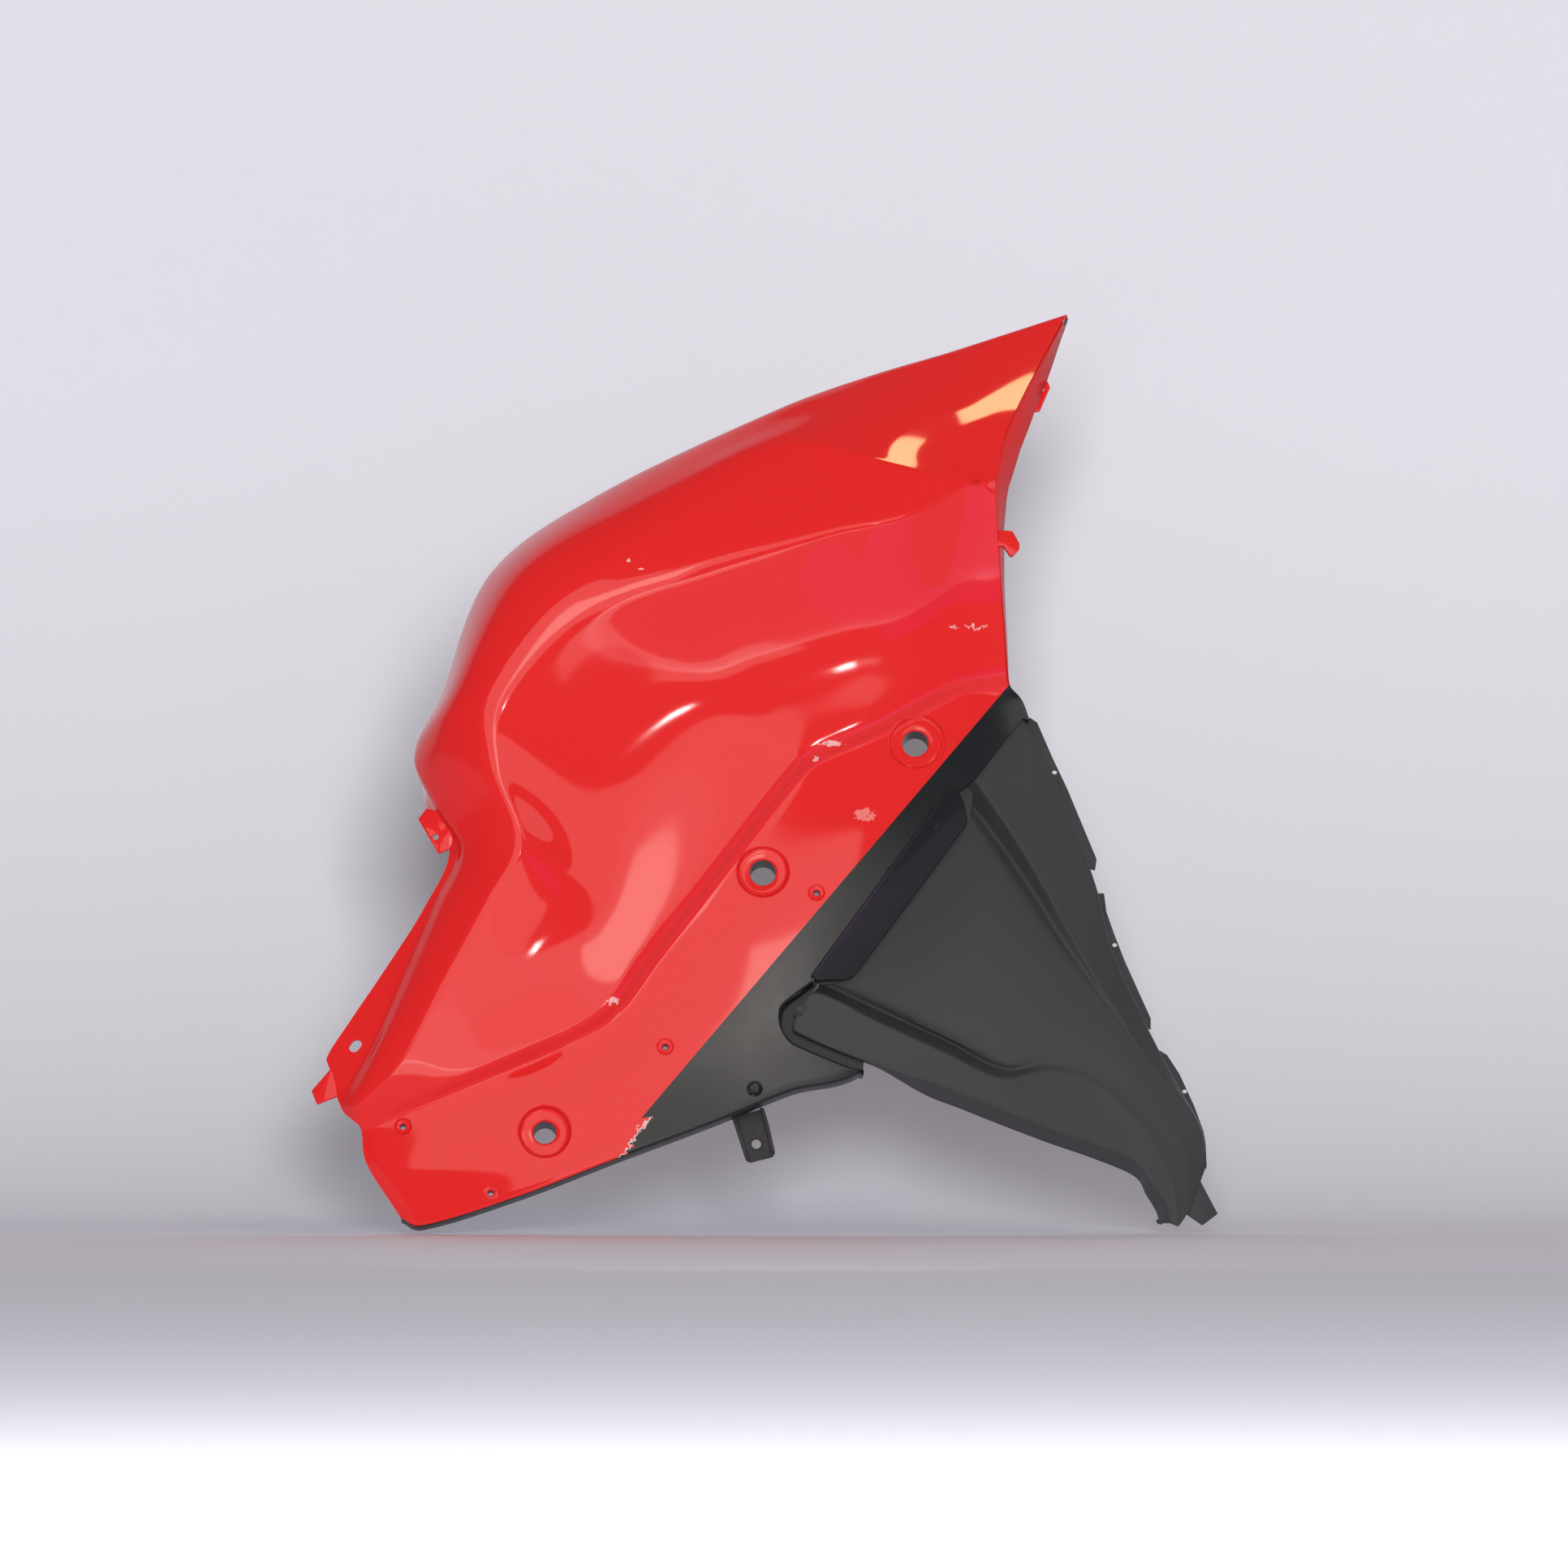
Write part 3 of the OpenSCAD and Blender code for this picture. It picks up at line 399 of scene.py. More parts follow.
# Closed shell through a grid, its wall behind it; faces before `plainRows` and all the back are bare
def shellMesh(name, g, wall, materials, plainRows=0):
    n, m = g.shape[:2]
    inner = g - wall * gridNormals(g)
    vertices = toWorld(np.vstack([g.reshape(-1, 3), inner.reshape(-1, 3)]))
    o = n * m
    skin, flags = [], []
    for i in range(n - 1):
        for j in range(m - 1):
            a = i * m + j
            skin.append((a, a + m, a + m + 1, a + 1))
            flags.append(1 if j < plainRows else 0)
    back = [(f[0] + o, f[3] + o, f[2] + o, f[1] + o) for f in skin]
    z = (n - 1) * m
    ends = [(j, j + 1, j + 1 + o, j + o) for j in range(m - 1)]
    ends += [(z + j, z + j + o, z + j + 1 + o, z + j + 1) for j in range(m - 1)]
    rims = [(i * m, i * m + o, (i + 1) * m + o, (i + 1) * m) for i in range(n - 1)]
    rims += [(i * m + m - 1, (i + 1) * m + m - 1, (i + 1) * m + m - 1 + o, i * m + m - 1 + o)
        for i in range(n - 1)]
    faces = skin + back + ends + rims
    flags += [1] * len(back) + [0] * (len(ends) + len(rims))
    return makeMesh(name, vertices, faces, materials, flags)


def heightOver(g):
    n, m = g.shape[:2]
    quads = [(i * m + j, (i + 1) * m + j, (i + 1) * m + j + 1, i * m + j + 1)
        for i in range(n - 1) for j in range(m - 1)]
    tree = BVHTree.FromPolygons([tuple(v) for v in g.reshape(-1, 3)], quads)

    def height(x, y, otherwise=0.0):
        hit = tree.ray_cast(Vector((x, y, 200)), Vector((0, 0, -1)))[0]
        return hit.z if hit else otherwise

    return height


# A profile swept along a flat path. Each row is (outward offset, drop, how far it follows the skin)
def sweepMesh(name, path, outward, rows, face, height, closed, materials, ownFlags=None):
    n, m = len(path), len(rows)
    points = []
    for p, o in zip(path, outward):
        q = p + o * rows[0][0]
        skin = height(q[0], q[1], face)
        for offset, drop, follow in rows:
            xy = p + o * offset
            points.append((xy[0], xy[1], mix(face, skin, follow) + drop))
    loops = range(n if closed else n - 1)
    faces = [(i * m + j, i * m + j + 1, ((i + 1) % n) * m + j + 1, ((i + 1) % n) * m + j)
        for i in loops for j in range(m - 1)]
    flags = [ownFlags[j] if ownFlags else 0 for i in loops for j in range(m - 1)]
    return makeMesh(name, toWorld(points), faces, materials, flags)


# Faces of a closed prism: bottom ring first, then the top ring
def prismFaces(n):
    return [tuple(reversed(range(n))), tuple(range(n, 2 * n))] \
        + [(i, (i + 1) % n, n + (i + 1) % n, n + i) for i in range(n)]


def turnedLeft(points):
    area = sum(a[0] * b[1] - b[0] * a[1] for a, b in zip(points, points[1:] + points[:1]))
    return points if area > 0 else points[::-1]


def circlePath(place, h, radius, steps):
    centre = seen(place[0], place[1], h)[:2]
    turn = np.linspace(0, 2 * math.pi, steps, endpoint=False)
    outward = np.column_stack([np.cos(turn), np.sin(turn)])
    return centre + radius * outward, outward


def prism(name, outline, low, high, level=None, materials=None, bevel=0.0):
    level = min(high, 0) if level is None else level
    flat = turnedLeft([seen(x, z, level)[:2] for x, z in outline])
    points = [(p[0], p[1], low) for p in flat] + [(p[0], p[1], high) for p in flat]
    obj = makeMesh(name, toWorld(points), prismFaces(len(flat)), materials, isSmooth=False)
    if bevel:
        roundEdges(obj, bevel)
    return obj


# Rounds the sharp edges, all but those that lie along keepLine
def roundEdges(obj, radius, segments=3, keepLine=None):
    edges = bmesh.new()
    edges.from_mesh(obj.data)
    chosen = []
    for e in edges.edges:
        if len(e.link_faces) != 2 or e.calc_face_angle(0) < math.radians(35):
            continue
        if keepLine and all(nearLine(np.array(v.co), *keepLine) for v in e.verts):
            continue
        chosen.append(e)
    bmesh.ops.bevel(edges, geom=chosen, offset=radius / 1000, segments=segments, profile=0.5,
        affect="EDGES", clamp_overlap=True)
    edges.to_mesh(obj.data)
    edges.free()
    obj.data.polygons.foreach_set("use_smooth", [True] * len(obj.data.polygons))
    obj.data.set_sharp_from_angle(angle=math.radians(40))


def nearLine(p, a, b, reach=0.0035):
    along = (b - a) / np.linalg.norm(b - a)
    return np.linalg.norm(np.cross(p - a, along)) < reach


def applyModifiers(obj):
    graph = bpy.context.evaluated_depsgraph_get()
    mesh = bpy.data.meshes.new_from_object(obj.evaluated_get(graph))
    obj.modifiers.clear()
    obj.data = mesh


def cylinder(name, place, h, radius, low, high, steps=64):
    path = circlePath(place, h, radius, steps)[0]
    points = [(p[0], p[1], h + low) for p in path] + [(p[0], p[1], h + high) for p in path]
    return makeMesh(name, toWorld(points), prismFaces(steps), isSmooth=False)


def cut(obj, cutters, crossesItself=False):
    tool = join("cutters", cutters)
    modifier = obj.modifiers.new("cut", "BOOLEAN")
    modifier.operation = "DIFFERENCE"
    modifier.solver = "EXACT"
    modifier.use_self = crossesItself
    modifier.object = tool
    applyModifiers(obj)
    bpy.data.objects.remove(tool, do_unlink=True)


def join(name, objects):
    merged = bmesh.new()
    materials = []
    for o in objects:
        for m in o.data.materials:
            if m not in materials:
                materials.append(m)
    for o in objects:
        remap = [materials.index(m) for m in o.data.materials]
        start = len(merged.faces)
        merged.from_mesh(o.data)
        merged.faces.ensure_lookup_table()
        for f in merged.faces[start:]:
            f.material_index = remap[f.material_index] if remap else 0
        bpy.data.objects.remove(o, do_unlink=True)
    mesh = bpy.data.meshes.new(name)
    merged.to_mesh(mesh)
    merged.free()
    for m in materials:
        mesh.materials.append(m)
    obj = bpy.data.objects.new(name, mesh)
    bpy.context.scene.collection.objects.link(obj)
    return obj


# Shader maths: sockets with operators
class Socket:
    def __init__(self, tree, socket):
        self.tree, self.socket = tree, socket

    def node(self, kind, settings=None, inputs=None, output=0):
        made = self.tree.nodes.new(kind)
        for key, value in (settings or {}).items():
            setattr(made, key, value)
        for key, value in (inputs or {}).items():
            if isinstance(value, Socket):
                self.tree.links.new(value.socket, made.inputs[key])
            else:
                made.inputs[key].default_value = value
        return Socket(self.tree, made.outputs[output])

    def maths(self, kind, *values):
        return self.node("ShaderNodeMath", {"operation": kind}, dict(enumerate(values)))

    def __add__(self, other):
        return self.maths("ADD", self, other)

    def __radd__(self, other):
        return self.maths("ADD", other, self)

    def __sub__(self, other):
        return self.maths("SUBTRACT", self, other)

    def __rsub__(self, other):
        return self.maths("SUBTRACT", other, self)

    def __mul__(self, other):
        return self.maths("MULTIPLY", self, other)

    def __rmul__(self, other):
        return self.maths("MULTIPLY", other, self)

    def __lt__(self, other):
        return self.maths("LESS_THAN", self, other)

    def __gt__(self, other):
        return self.maths("GREATER_THAN", self, other)

    def size(self):
        return self.maths("ABSOLUTE", self)

    def larger(self, other):
        return self.maths("MAXIMUM", self, other)

    def blend(self, a, b):
        return self.node("ShaderNodeMix", {"data_type": "RGBA"}, {"Factor": self, "A": a, "B": b}, 2)

    def blendValue(self, a, b):
        return self.node("ShaderNodeMix", {"data_type": "FLOAT"}, {"Factor": self, "A": a, "B": b}, 0)


def startMaterial(name):
    material = bpy.data.materials.new(name)
    material.use_nodes = True
    tree = material.node_tree
    shader = tree.nodes["Principled BSDF"]
    place = tree.nodes.new("ShaderNodeTexCoord")
    position = Socket(tree, place.outputs["Object"])
    return material, tree, shader, position


def plug(tree, shader, values):
    for key, value in values.items():
        if isinstance(value, Socket):
            tree.links.new(value.socket, shader.inputs[key])
        else:
            shader.inputs[key].default_value = value


def colour(rgb):
    return (*rgb, 1.0)


def axes(position):
    split = position.node("ShaderNodeSeparateXYZ", None, {0: position})
    made = split.socket.node
    return tuple(Socket(position.tree, made.outputs[k]) for k in range(3))


# Signed distance on the side view, positive to the right of the line from a up to b
def besideLine(x, z, a, b):
    dx, dz = b[0] - a[0], b[1] - a[1]
    length = math.hypot(dx, dz)
    return (x * (dz / length) - z * (dx / length)) - (a[0] * dz - a[1] * dx) / length


# A mark on the paint, used for wear and for painted highlights: an ellipse on the side view, broken up by
# noise
def wornMark(x, z, mark, ragged):
    place, size = mark
    u, v = (x - place[0]) * (1 / size[0]), (z - place[1]) * (1 / size[1])
    return (u * u + v * v + (ragged - 0.5) * 4.0) < 0.6


def paintMaterial(name, coat):
    material, tree, shader, position = startMaterial(name)
    x, y, z = axes(position)
    ragged = position.node("ShaderNodeTexNoise", None,
        {"Vector": position, "Scale": masking["raggedScale"], "Detail": 4.0, "Roughness": 0.65})
    maskLine = besideLine(x, z, *masking["line"])
    chipLine = besideLine(x, z, *masking["chipLine"]) + (ragged - 0.5) * masking["ragged"]
    lower = (z - x * masking["footSlope"]) < masking["foot"]
    redAbove = (maskLine < 0.0) * (1.0 - lower)
    redBelow = (chipLine < 0.0) * lower
    red = redAbove + redBelow
    onEdge = (chipLine + masking["flakeWidth"]).size() < masking["flakeWidth"]
    flake = lower * onEdge * (ragged > masking["patchy"])
    body = red.blend(colour(gloss["black"]), colour(paint["red"]))
    grain = position.node("ShaderNodeTexNoise", None,
        {"Vector": position, "Scale": wearAndHighlights["grain"], "Detail": 3.0, "Roughness": 0.6})
    smudge = wornMark(x, z, wearAndHighlights["smudge"], grain)
    # A thin wavy line of painted reflection near the front edge, broken into dashes
    left, right, level, halfWidth = wearAndHighlights["frontGlint"]
    offGlint = (z + (ragged - 0.5) * wearAndHighlights["glintWaver"] - level).size()
    wearAndHighlightMask = (x > left) * (x < right) * (grain > wearAndHighlights["patchy"]) * (offGlint < halfWidth)
    # Painted highlights on the step's fillet are joined by the tiny wear marks
    for mark in wearAndHighlights["stepHighlights"] + wearAndHighlights["tiny"]:
        wearAndHighlightMask = wearAndHighlightMask.larger(wornMark(x, z, mark, grain))
    # The pale smudge, then the tiny wear marks and the painted highlights, over the paint
    wornAndHighlit = wearAndHighlightMask.blend(smudge.blend(body, colour(wearAndHighlights["pale"])), colour(wearAndHighlights["bright"]))
    base = flake.blend(wornAndHighlit, colour(paint["flake"]))
    peel = position.node("ShaderNodeTexNoise", None,
        {"Vector": position, "Scale": paint["peelScale"], "Detail": 1.0})
    bump = position.node("ShaderNodeBump", None,
        {"Strength": paint["orangePeel"], "Distance": 0.0006, "Height": peel})
    streak = position.node("ShaderNodeTexNoise", None,
        {"Vector": position, "Scale": gloss["streakScale"], "Detail": 5.0, "Roughness": 0.7})
    bareRoughness = streak * gloss["streaks"] + (gloss["roughness"] - gloss["streaks"] / 2)
    plug(tree, shader, {
        "Base Color": base, "Roughness": red.blendValue(bareRoughness, paint["roughness"]),
        "Coat Weight": red * coat, "Coat Roughness": paint["coatRoughness"], "Normal": bump})
    return material


def bareMaterial():
    material, tree, shader, position = startMaterial("bareBlack")
    plug(tree, shader, {"Base Color": colour(bare["black"]), "Roughness": bare["roughness"]})
    return material


def mattMaterial():
    material, tree, shader, position = startMaterial("mattBlack")
    grain = position.node("ShaderNodeTexNoise", None,
        {"Vector": position, "Scale": matt["grainSize"], "Detail": 2.0, "Roughness": 0.6})
    bump = position.node("ShaderNodeBump", None,
        {"Strength": matt["grain"], "Distance": 0.0004, "Height": grain})
    plug(tree, shader, {"Base Color": colour(matt["black"]), "Roughness": matt["roughness"],
        "Normal": bump})
    return material


def steelMaterial():
    material, tree, shader, position = startMaterial("zincSteel")
    plug(tree, shader, {"Base Color": colour(steel["colour"]), "Metallic": 1.0,
        "Roughness": steel["roughness"]})
    return material


redPaint, edgePaint = paintMaterial("redPaint", paint["coat"]), paintMaterial("edgePaint", paint["edgeCoat"])
bareBlack, mattBlack, zincSteel = bareMaterial(), mattMaterial(), steelMaterial()

# Painted panel: the shell
panelTimes = np.linspace(-0.4, 10.98, panel["stations"])
panelGrid = np.array([panelSection(t) for t in panelTimes])
panelGrid[:, 5:75, 2] -= lensDent(panelGrid[:, 5:75])
skinHeight = heightOver(panelGrid)
shell = shellMesh("panelShell", panelGrid, panel["wall"], [redPaint, bareBlack], plainRows=5)
rimPath = smooth([seen(x, z, 0) for x, z in recessRim], 8)


def besidePath(path):
    step = np.gradient(path[:, :2], axis=0)
    side = np.column_stack([-step[:, 1], step[:, 0]])
    return side / np.linalg.norm(side, axis=1, keepdims=True)


def flatPrism(name, points, low, high):
    flat = turnedLeft([p[:2] for p in points])
    vertices = [(p[0], p[1], low) for p in flat] + [(p[0], p[1], high) for p in flat]
    return makeMesh(name, toWorld(vertices), prismFaces(len(flat)), isSmooth=False)


edgeGap = 1.3  # width of the rounded rim that stands between the cut skin and a recess
rimSide = besidePath(rimPath)
openingWide = [seen(x, z, 0) for x, z in trimOpening] \
    + [np.append(p[:2] + s * edgeGap, 0) for p, s in zip(rimPath[::-1], rimSide[::-1])] \
    + [seen(x, z, 0) for x, z in openingFoot]
cutters = [flatPrism("openingCutter", openingWide, -60, 20)]
cutters += [cylinder("boreCutter", p, h, seats["recessRadius"] + edgeGap, -30, 20) for p, h, r in bores]
cutters += [cylinder("pinCutter", p, h, seats["pinRing"] + 0.5, -12, 8, 40) for p, h in pinHoles]
cutters += [cylinder("dimpleCutter", dimplePlace, -2, seats["dimple"] + 0.5, -1.2, 8, 40)]
slotAt = seen(*slotPlace, -2.5)[:2]
turn = math.radians(slotTurn)
slotRing = []
for side in (1, -1):
    for k in range(17):
        a = turn + (0 if side > 0 else math.pi) - math.pi / 2 + math.pi * k / 16
        shift = (slotLength - slotWidth) / 2 * side
        slotRing.append(np.array([slotAt[0] + shift * math.cos(turn) + slotWidth / 2 * math.cos(a),
            slotAt[1] + shift * math.sin(turn) + slotWidth / 2 * math.sin(a), 0]))
cutters.append(flatPrism("slotCutter", slotRing, -20, 20))
cut(shell, cutters, True)
shell.data.set_sharp_from_angle(angle=math.radians(38))
print("panel shell", len(shell.data.polygons), "faces")


# Recessed seats, locating holes and the dimple, whose rims follow the skin
def seatRows(radius):
    g, depth, ring = edgeGap, seats["recessDepth"], seats["recessRadius"]
    r = radius - ring
    end = -depth - seats["tubeLength"]
    tube = r + seats["tubeWall"]
    return [(g, 0.0, 1), (g * 0.6, -0.08, 1), (g * 0.25, -0.35, 1), (0, -0.9, 0.9), (-0.1, -1.6, 0.5),
        (-0.5, -2.2, 0.2), (-1.2, -depth, 0), (-3.0, -depth, 0), (r + 1.4, -depth, 0),
        (r + 0.5, -depth - 0.2, 0), (r + 0.1, -depth - 0.7, 0), (r, -depth - 1.6, 0), (r, end + 0.4, 0),
        (r + 0.4, end, 0), (tube - 0.4, end, 0), (tube, end + 0.4, 0), (tube, -depth - 3.2, 0),
        (tube + 0.6, -depth - 3.0, 0), (2.6, -depth - 3.0, 0), (3.0, -depth - 2.6, 0), (3.0, -2.0, 0)]


seatParts = []
for place, h, radius in bores:
    path, outward = circlePath(place, h, seats["recessRadius"], seats["steps"])
    rows = seatRows(radius)
    flags = [0 if j < 11 else 1 for j in range(len(rows) - 1)]
    seatParts.append(sweepMesh("seat", path[::-1], outward[::-1], rows, h, skinHeight, True,
        [redPaint, bareBlack], flags))
for place, h in pinHoles:
    path, outward = circlePath(place, h, seats["pinRing"], 48)
    r = seats["pinHole"] - seats["pinRing"]
    rows = [(0.5, 0, 1), (0.2, -0.08, 1), (0, -0.3, 1), (-0.3, -seats["pinDepth"], 0.5),
        (-1.2, -seats["pinDepth"] - 0.1, 0), (r + 0.9, -seats["pinDepth"] - 0.1, 0),
        (r + 0.2, -seats["pinDepth"] - 0.3, 0), (r, -1.2, 0), (r, -seats["pinLength"], 0),
        (1.5, -seats["pinLength"], 0), (1.5, -2.0, 0)]
    seatParts.append(sweepMesh("pin", path[::-1], outward[::-1], rows, h, skinHeight, True,
        [redPaint, bareBlack], [0, 0, 0, 0, 0, 0, 0, 1, 1, 1]))
path, outward = circlePath(dimplePlace, -2, seats["dimple"], 40)
centre = -seats["dimple"]  # offset that brings the last row to the middle
seatParts.append(sweepMesh("dimple", path[::-1], outward[::-1], [(0.5, 0, 1), (0.1, -0.1, 1),
    (-0.5, -0.5, 1), (-1.6, -0.85, 1), (-3.2, -1.0, 1), (centre + 0.01, -1.05, 1)], -2, skinHeight,
    True, [redPaint]))
seatsPiece = join("boreSeats", seatParts)
print("seats", len(seatsPiece.data.polygons), "faces")

# Recess round the trim's corner, front wall and lip
wallRows = [(edgeGap, 0, 1), (edgeGap * 0.6, -0.07, 1), (edgeGap * 0.25, -0.3, 1), (0, -0.9, 1),
    (0, recessFloor + ledgeThickness + 0.8, 0), (-0.3, recessFloor + ledgeThickness + 0.15, 0),
    (-1.0, recessFloor + ledgeThickness - 0.02, 0), (-1.0, recessFloor + 1, 0),
    (panel["wall"], recessFloor, 0), (panel["wall"], -2.4, 0)]
recess = sweepMesh("recess", rimPath[:, :2], rimSide, wallRows, 0, skinHeight, False,
    [redPaint, bareBlack], [0] * 6 + [1] * 3)
ledge = flatPrism("ledge", [np.append(p[:2] + q * 2, 0) for p, q in zip(rimPath, rimSide)]
    + [seen(x, z, 0) for x, z in ledgeInner], recessFloor, recessFloor + ledgeThickness)
ledge.data.materials.append(bareBlack)


def frontWall():
    edge = panelSection(11.0)
    path = edge[8:-21:2]
    step = np.gradient(path, axis=0)
    inward = np.column_stack([-step[:, 1], step[:, 0], np.zeros(len(path))])
    inward /= np.linalg.norm(inward, axis=1, keepdims=True)
    deep = panel["frontReturn"]
    heights = path[:, 1] * cosLean + path[:, 2] * sinLean
    out = np.interp(heights, *np.array(frontFlare, float).T)
    rows = [(0.5, 0.0), (0.1, -0.3), (0.0, -0.8), (0.0, -deep + 0.5), (0.4, -deep),
        (panel["wall"] - 0.3, -deep), (panel["wall"], -deep + 0.4), (panel["wall"], -1.5)]
    points = [p + inward[i] * a + np.array([out[i] * max(0, -b - 0.5) / deep, 0, b])
        for i, p in enumerate(path) for a, b in rows]
    m, n = len(rows), len(path)
    faces = [(i * m + j, (i + 1) * m + j, (i + 1) * m + j + 1, i * m + j + 1)
        for i in range(n - 1) for j in range(m - 1)]
    faces += [tuple(range(m)), tuple(reversed(range((n - 1) * m, n * m)))]
    return makeMesh("frontWall", toWorld(points), faces, [edgePaint])


def lipPlate():
    a, b = seen(*lipLine[0], 0), seen(*lipLine[1], 0)
    along = (b - a) / np.linalg.norm(b - a)
    slope = math.radians(lipShape["angle"])
    down = np.array([along[1] * math.cos(slope), -along[0] * math.cos(slope), -math.sin(slope)])
    normal = np.cross(down, along)
    normal = normal if normal[2] > 0 else -normal
    toView = np.array([[1, 0, 0], [0, cosLean, sinLean]])
    basis = toView @ np.column_stack([along, down])
    points = [np.linalg.solve(basis, np.array(p) - toView @ a) for p in lipOutline]
    top = turnedLeft([a + along * s + down * d + np.array([0, 0, 0.02]) for s, d in points])
    vertices = [p - normal * lipShape["wall"] for p in top] + top
    obj = makeMesh("lip", toWorld(vertices), prismFaces(len(top)), [redPaint], isSmooth=False)
    upper = toWorld([a])[0], toWorld([b])[0]
    roundEdges(obj, lipShape["round"], keepLine=upper)
    return obj


def plateOf(name, materials, bevel):
    outline, low, high, hole, radius = plates[name]
    obj = prism(name, outline, low, high, None, materials)
    if hole:
        cut(obj, [cylinder("holeCutter", hole, (low + high) / 2, radius, -12, 12, 40)])
    roundEdges(obj, bevel)
    return obj


panelTabs = [plateOf(k, [redPaint], tabShape["round"]) for k in ("rearTab", "cornerTab", "frontTab", "hook")]
bottom = plates["bottomTab"]
panelTabs.append(plateOf("bottomTab", [bareBlack], tabShape["round"]))
outline = bottom[0]
rib, ribHigh = tabShape["rib"], bottom[2] + tabShape["ribRise"]
for strip in ([outline[1], outline[2], outline[3], (outline[3][0] - rib, outline[3][1]),
        (outline[2][0] - rib, outline[2][1]), (outline[1][0] - rib, outline[1][1])],
        [outline[0], outline[7], outline[6], (outline[6][0] + rib, outline[6][1] + 0.7),
        (outline[7][0] + rib, outline[7][1]), (outline[0][0] + rib, outline[0][1])]):
    panelTabs.append(prism("tabRib", strip, bottom[1], ribHigh, bottom[2], [bareBlack], 0.5))
pillars = [cylinder("pillar", p, marginHeight, 4.5, 0, -marginHeight - 1.2, 40) for p in screwPlaces]
for p in pillars:
    p.data.materials.append(bareBlack)
    roundEdges(p, 0.4)
tabsPiece = join("panelTabs", panelTabs)
edgesPiece = join("panelEdges", [recess, ledge, frontWall(), lipPlate()] + pillars)
print("edges and tabs", len(tabsPiece.data.polygons) + len(edgesPiece.data.polygons), "faces")

# Lower trim
trimTimes = np.concatenate([np.linspace(-0.2, 0.3, 20), np.linspace(0.36, 9, trim["stations"] - 20)])
trimGrid = np.array([trimSection(t) for t in trimTimes])
trimShell = shellMesh("trimShell", trimGrid, trim["wall"], [mattBlack, mattBlack])
cut(trimShell, [cylinder("lugCutter", plates[k][3], plates[k][1], plates[k][4], -4, 6, 32)
    for k in ("lugHigh", "lugMiddle", "lugLow")])
trimShell.data.set_sharp_from_angle(angle=math.radians(38))
trimParts = [plateOf(k, [mattBlack], 0.5) for k in ("lugHigh", "lugMiddle", "lugLow", "tongue")]
margin = prism("margin", *plates["trimMargin"][:3], None, [mattBlack])
cut(margin, [cylinder("screwCutter", p, marginHeight, 2.1, -8, 8, 32) for p in screwPlaces])
roundEdges(margin, 0.4)
trimPiece = join("lowerTrim", [trimShell, margin] + trimParts)
print("trim", len(trimPiece.data.polygons), "faces")


# Screws: one node group that sets a screw on each of its points
def screwMesh():
    bm = bmesh.new()
    head, rim, shank = -screwShape["headHeight"], screwShape["headRadius"], screwShape["radius"]
    point, soften = trim["wall"] + screwShape["grip"], screwShape["headRound"]
    profile = [(0.0, head), (rim - soften, head), (rim, head + screwShape["headSlope"]), (rim, 0.0),
        (shank, 0.0), (shank, point - screwShape["tip"]), (screwShape["tipRadius"], point), (0.0, point)]
    vertices = [bm.verts.new((r / 1000, 0, z / 1000)) for r, z in profile]
    edges = [bm.edges.new(pair) for pair in zip(vertices, vertices[1:])]
    bmesh.ops.spin(bm, geom=vertices + edges, axis=(0, 0, 1), cent=(0, 0, 0), steps=32,
        angle=2 * math.pi, use_merge=True)
    bmesh.ops.remove_doubles(bm, verts=bm.verts, dist=1e-7)
    bmesh.ops.recalc_face_normals(bm, faces=bm.faces)
    mesh = bpy.data.meshes.new("screwShape")
    bm.to_mesh(mesh)
    bm.free()
    obj = bpy.data.objects.new("screwShape", mesh)
    bpy.context.scene.collection.objects.link(obj)
    crosses = []
    for turnBy in (0, math.pi / 2):
        a, b = screwShape["crossLength"] / 2, screwShape["crossWidth"] / 2
        low, high = -screwShape["headHeight"] - 1, -screwShape["headHeight"] + screwShape["crossDepth"]
        c, s = math.cos(turnBy), math.sin(turnBy)
        corners = [(x * c - y * s, x * s + y * c, z) for z in (low, high)
            for x, y in ((-a, -b), (a, -b), (a, b), (-a, b))]
        crosses.append(makeMesh("cross", np.array(corners) / 1000, [(3, 2, 1, 0), (4, 5, 6, 7), (0, 1, 5, 4),
            (1, 2, 6, 5), (2, 3, 7, 6), (3, 0, 4, 7)], isSmooth=False))
    for cross in crosses:
        cut(obj, [cross])
    obj.data.polygons.foreach_set("use_smooth", [True] * len(obj.data.polygons))
    obj.data.set_sharp_from_angle(angle=math.radians(35))
    return obj


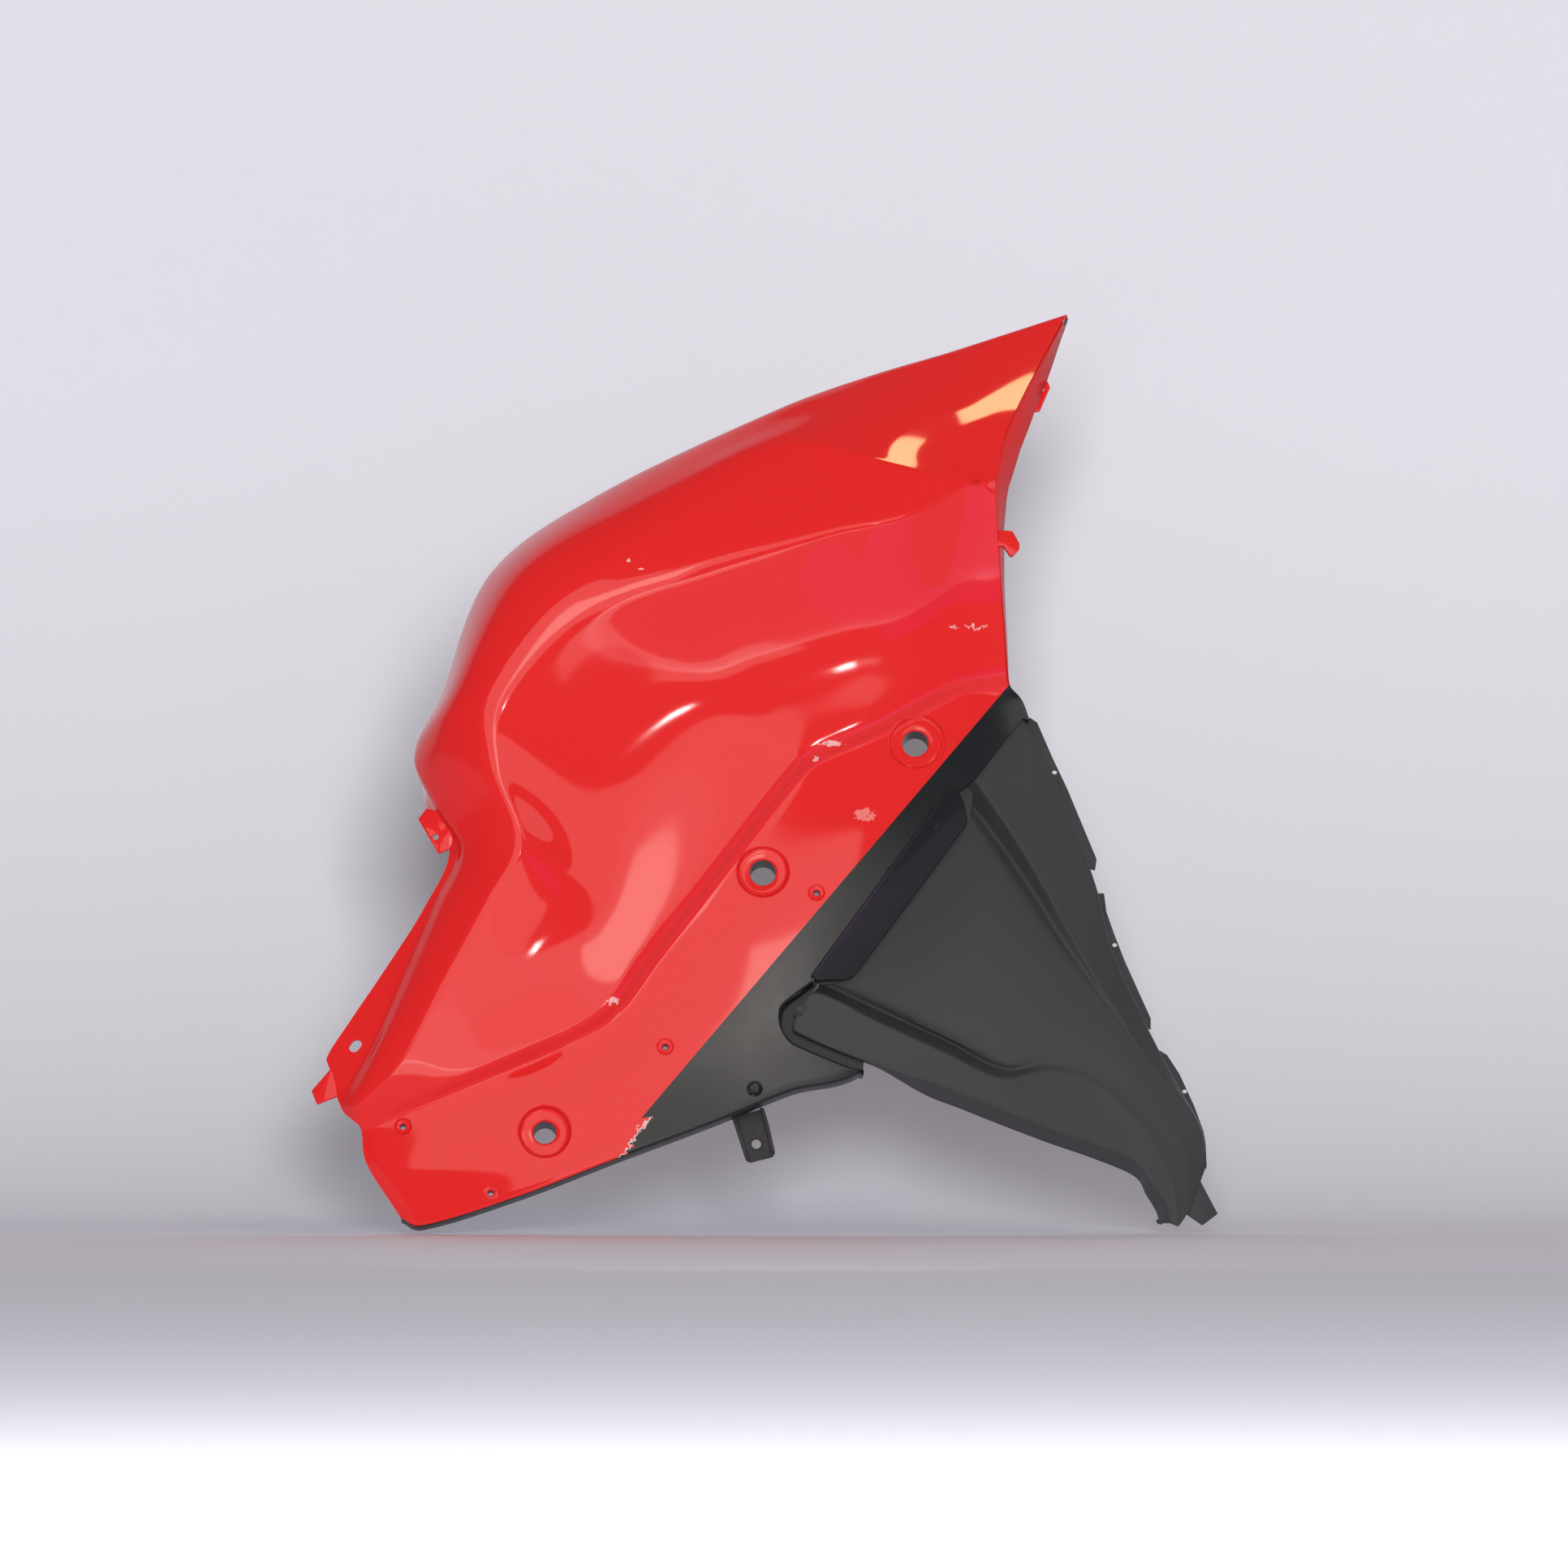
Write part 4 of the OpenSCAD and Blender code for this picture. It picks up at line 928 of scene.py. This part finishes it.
def placeScrews():
    shape = screwMesh()
    group = bpy.data.node_groups.new("placeScrews", "GeometryNodeTree")
    for name, kind, way in (("Geometry", "NodeSocketGeometry", "INPUT"),
            ("Screw", "NodeSocketObject", "INPUT"), ("Tilt", "NodeSocketFloat", "INPUT"),
            ("Finish", "NodeSocketMaterial", "INPUT"), ("Seed", "NodeSocketInt", "INPUT"),
            ("Geometry", "NodeSocketGeometry", "OUTPUT")):
        group.interface.new_socket(name=name, in_out=way, socket_type=kind)
    nodes, links = group.nodes, group.links
    source, result = nodes.new("NodeGroupInput"), nodes.new("NodeGroupOutput")
    info = nodes.new("GeometryNodeObjectInfo")
    spin = nodes.new("FunctionNodeRandomValue")
    spin.inputs["Max"].default_value = math.pi
    tilt = nodes.new("ShaderNodeCombineXYZ")
    turnNode = nodes.new("ShaderNodeCombineXYZ")
    instances, rotate = nodes.new("GeometryNodeInstanceOnPoints"), nodes.new("GeometryNodeRotateInstances")
    real, finish = nodes.new("GeometryNodeRealizeInstances"), nodes.new("GeometryNodeSetMaterial")
    links.new(source.outputs["Screw"], info.inputs["Object"])
    links.new(source.outputs["Seed"], spin.inputs["Seed"])
    links.new(source.outputs["Tilt"], tilt.inputs["X"])
    floatOut = [s for s in spin.outputs if s.type == "VALUE"][0]
    links.new(floatOut, turnNode.inputs["Z"])
    links.new(source.outputs["Geometry"], instances.inputs["Points"])
    links.new(info.outputs["Geometry"], instances.inputs["Instance"])
    links.new(tilt.outputs[0], instances.inputs["Rotation"])
    links.new(instances.outputs[0], rotate.inputs["Instances"])
    links.new(turnNode.outputs[0], rotate.inputs["Rotation"])
    links.new(rotate.outputs[0], real.inputs[0])
    links.new(real.outputs[0], finish.inputs[0])
    links.new(source.outputs["Finish"], finish.inputs["Material"])
    links.new(finish.outputs[0], result.inputs[0])
    seatsAt = toWorld([seen(*p, marginHeight) - np.array([0, 0, trim["wall"]]) for p in screwPlaces])
    holder = makeMesh("joiningScrews", seatsAt, [], [zincSteel])
    modifier = holder.modifiers.new("screws", "NODES")
    modifier.node_group = group
    for item in group.interface.items_tree:
        if item.item_type == "SOCKET" and item.in_out == "INPUT":
            value = {"Screw": shape, "Tilt": math.pi / 2 - lean, "Finish": zincSteel, "Seed": 7}.get(item.name)
            if value is not None:
                modifier[item.identifier] = value
    applyModifiers(holder)
    if not holder.data.materials:
        holder.data.materials.append(zincSteel)
    bpy.data.objects.remove(shape, do_unlink=True)
    return holder


screwsPiece = placeScrews()
print("screws", len(screwsPiece.data.polygons), "faces")

# Pieces to the root body, each hiding the CAD node it replaces
mouldings = [(piece, "painted_panel", "painted_panel") for piece in (shell, seatsPiece, tabsPiece, edgesPiece)]
for piece, node, slotName in mouldings + [(trimPiece, "lower_trim", "lower_trim"),
        (screwsPiece, "joining_screws", "screws")]:
    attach(piece, "root")
    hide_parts(node)


# Stage. The backdrop is clear from its back, so that views from behind show the object
def floorAndBackdrop():
    turnAt, radius, width = 0.25, 0.55, 9.0
    profile = [(-12.0, 0.0)] + [(turnAt + radius * math.sin(a), radius * (1 - math.cos(a)))
        for a in np.linspace(0, math.pi / 2, 24)] + [(turnAt + radius, 8.0)]
    points = [(x, y, z + studio["floor"]) for x in (-width, width) for y, z in profile]
    n = len(profile)
    floor = makeMesh("studioFloor", points, [(i, n + i, n + i + 1, i + 1) for i in range(n - 1)])
    material, tree, shader, position = startMaterial("paleFloor")
    plug(tree, shader, {"Base Color": colour(studio["floorTint"]), "Roughness": 0.9})
    fromBack = position.node("ShaderNodeNewGeometry", output="Backfacing")
    shown = position.node("ShaderNodeMixShader", None, {0: fromBack,
        1: Socket(tree, shader.outputs[0]), 2: position.node("ShaderNodeBsdfTransparent")})
    tree.links.new(shown.socket, tree.nodes["Material Output"].inputs["Surface"])
    floor.data.materials.append(material)


def world():
    scene = bpy.context.scene
    scene.world = bpy.data.worlds.new("studio")
    scene.world.use_nodes = True
    tree = scene.world.node_tree
    back = tree.nodes["Background"]
    path = tree.nodes.new("ShaderNodeLightPath")
    rays = [Socket(tree, path.outputs[k]) for k in ("Is Camera Ray", "Is Glossy Ray", "Is Transmission Ray")]
    seenRay = rays[0].larger(rays[1]).larger(rays[2])
    light = seenRay.blend((studio["fill"],) * 3 + (1,), colour(studio["backdrop"]))
    tree.links.new(light.socket, back.inputs["Color"])


def areaLight(name, place, target, width, height, watts, tint=(1, 1, 1)):
    light = bpy.data.lights.new(name, "AREA")
    light.shape = "RECTANGLE"
    light.size, light.size_y = width, height
    light.energy, light.color = watts, tint
    obj = bpy.data.objects.new(name, light)
    obj.location = place
    obj.rotation_euler = (Vector(target) - Vector(place)).to_track_quat("-Z", "Y").to_euler()
    bpy.context.scene.collection.objects.link(obj)
    return obj


def camera():
    cam = bpy.data.cameras.new("camera")
    scale = studio["pixel"] / 1000
    aim = ((studio["centre"][0] - studio["origin"][0]) * scale,
        (studio["origin"][1] - studio["centre"][1]) * scale)
    cam.lens = cam.sensor_width * studio["distance"] / (studio["frame"] * scale)
    cam.clip_end = 100
    obj = bpy.data.objects.new("camera", cam)
    obj.location = (aim[0], -studio["distance"], aim[1])
    obj.rotation_euler = (math.pi / 2, 0, 0)
    bpy.context.scene.collection.objects.link(obj)
    bpy.context.scene.camera = obj


def direction(azimuth, elevation):
    az, el = math.radians(azimuth), math.radians(elevation)
    return Vector((math.sin(az) * math.cos(el), -math.cos(az) * math.cos(el), math.sin(el)))


# Cards and a lamp that show as reflections, and a broad key light beside the camera
def lights():
    cards = [(*card, studio["cardTint"]) for card in studio["cards"]]
    cards.append((*studio["roseCard"], studio["roseTint"]))
    for k, (left, right, low, high, glow, tint) in enumerate(cards):
        place = Vector(((left + right) / 2, studio["cardPlane"] + studio["cardGap"] * k, (low + high) / 2))
        width, height = right - left, high - low
        card = areaLight("card" + str(k), place, place + Vector((0, 1, 0)), width, height,
            glow * math.pi * width * height, tint)
        card.visible_camera = card.visible_diffuse = False
    middle = Vector(studio["aim"])
    width, height = studio["lampSize"]
    areaLight("lamp", studio["lampPlace"], studio["lampAim"], width, height,
        studio["lampGlow"] * math.pi * width * height, studio["lampTint"])
    width, height = studio["flashSize"]
    flash = areaLight("flash", studio["flashPlace"], middle, width, height,
        studio["flashGlow"] * math.pi * width * height)
    flash.visible_camera = False
    size = studio["keySize"]
    key = areaLight("key", middle + direction(*studio["keyPlace"]) * studio["keyDistance"], middle, size, size,
        studio["keyWatts"])
    key.visible_glossy = False
    key.visible_camera = False


floorAndBackdrop()
world()
camera()
lights()
bpy.context.scene.view_settings.view_transform = "Standard"
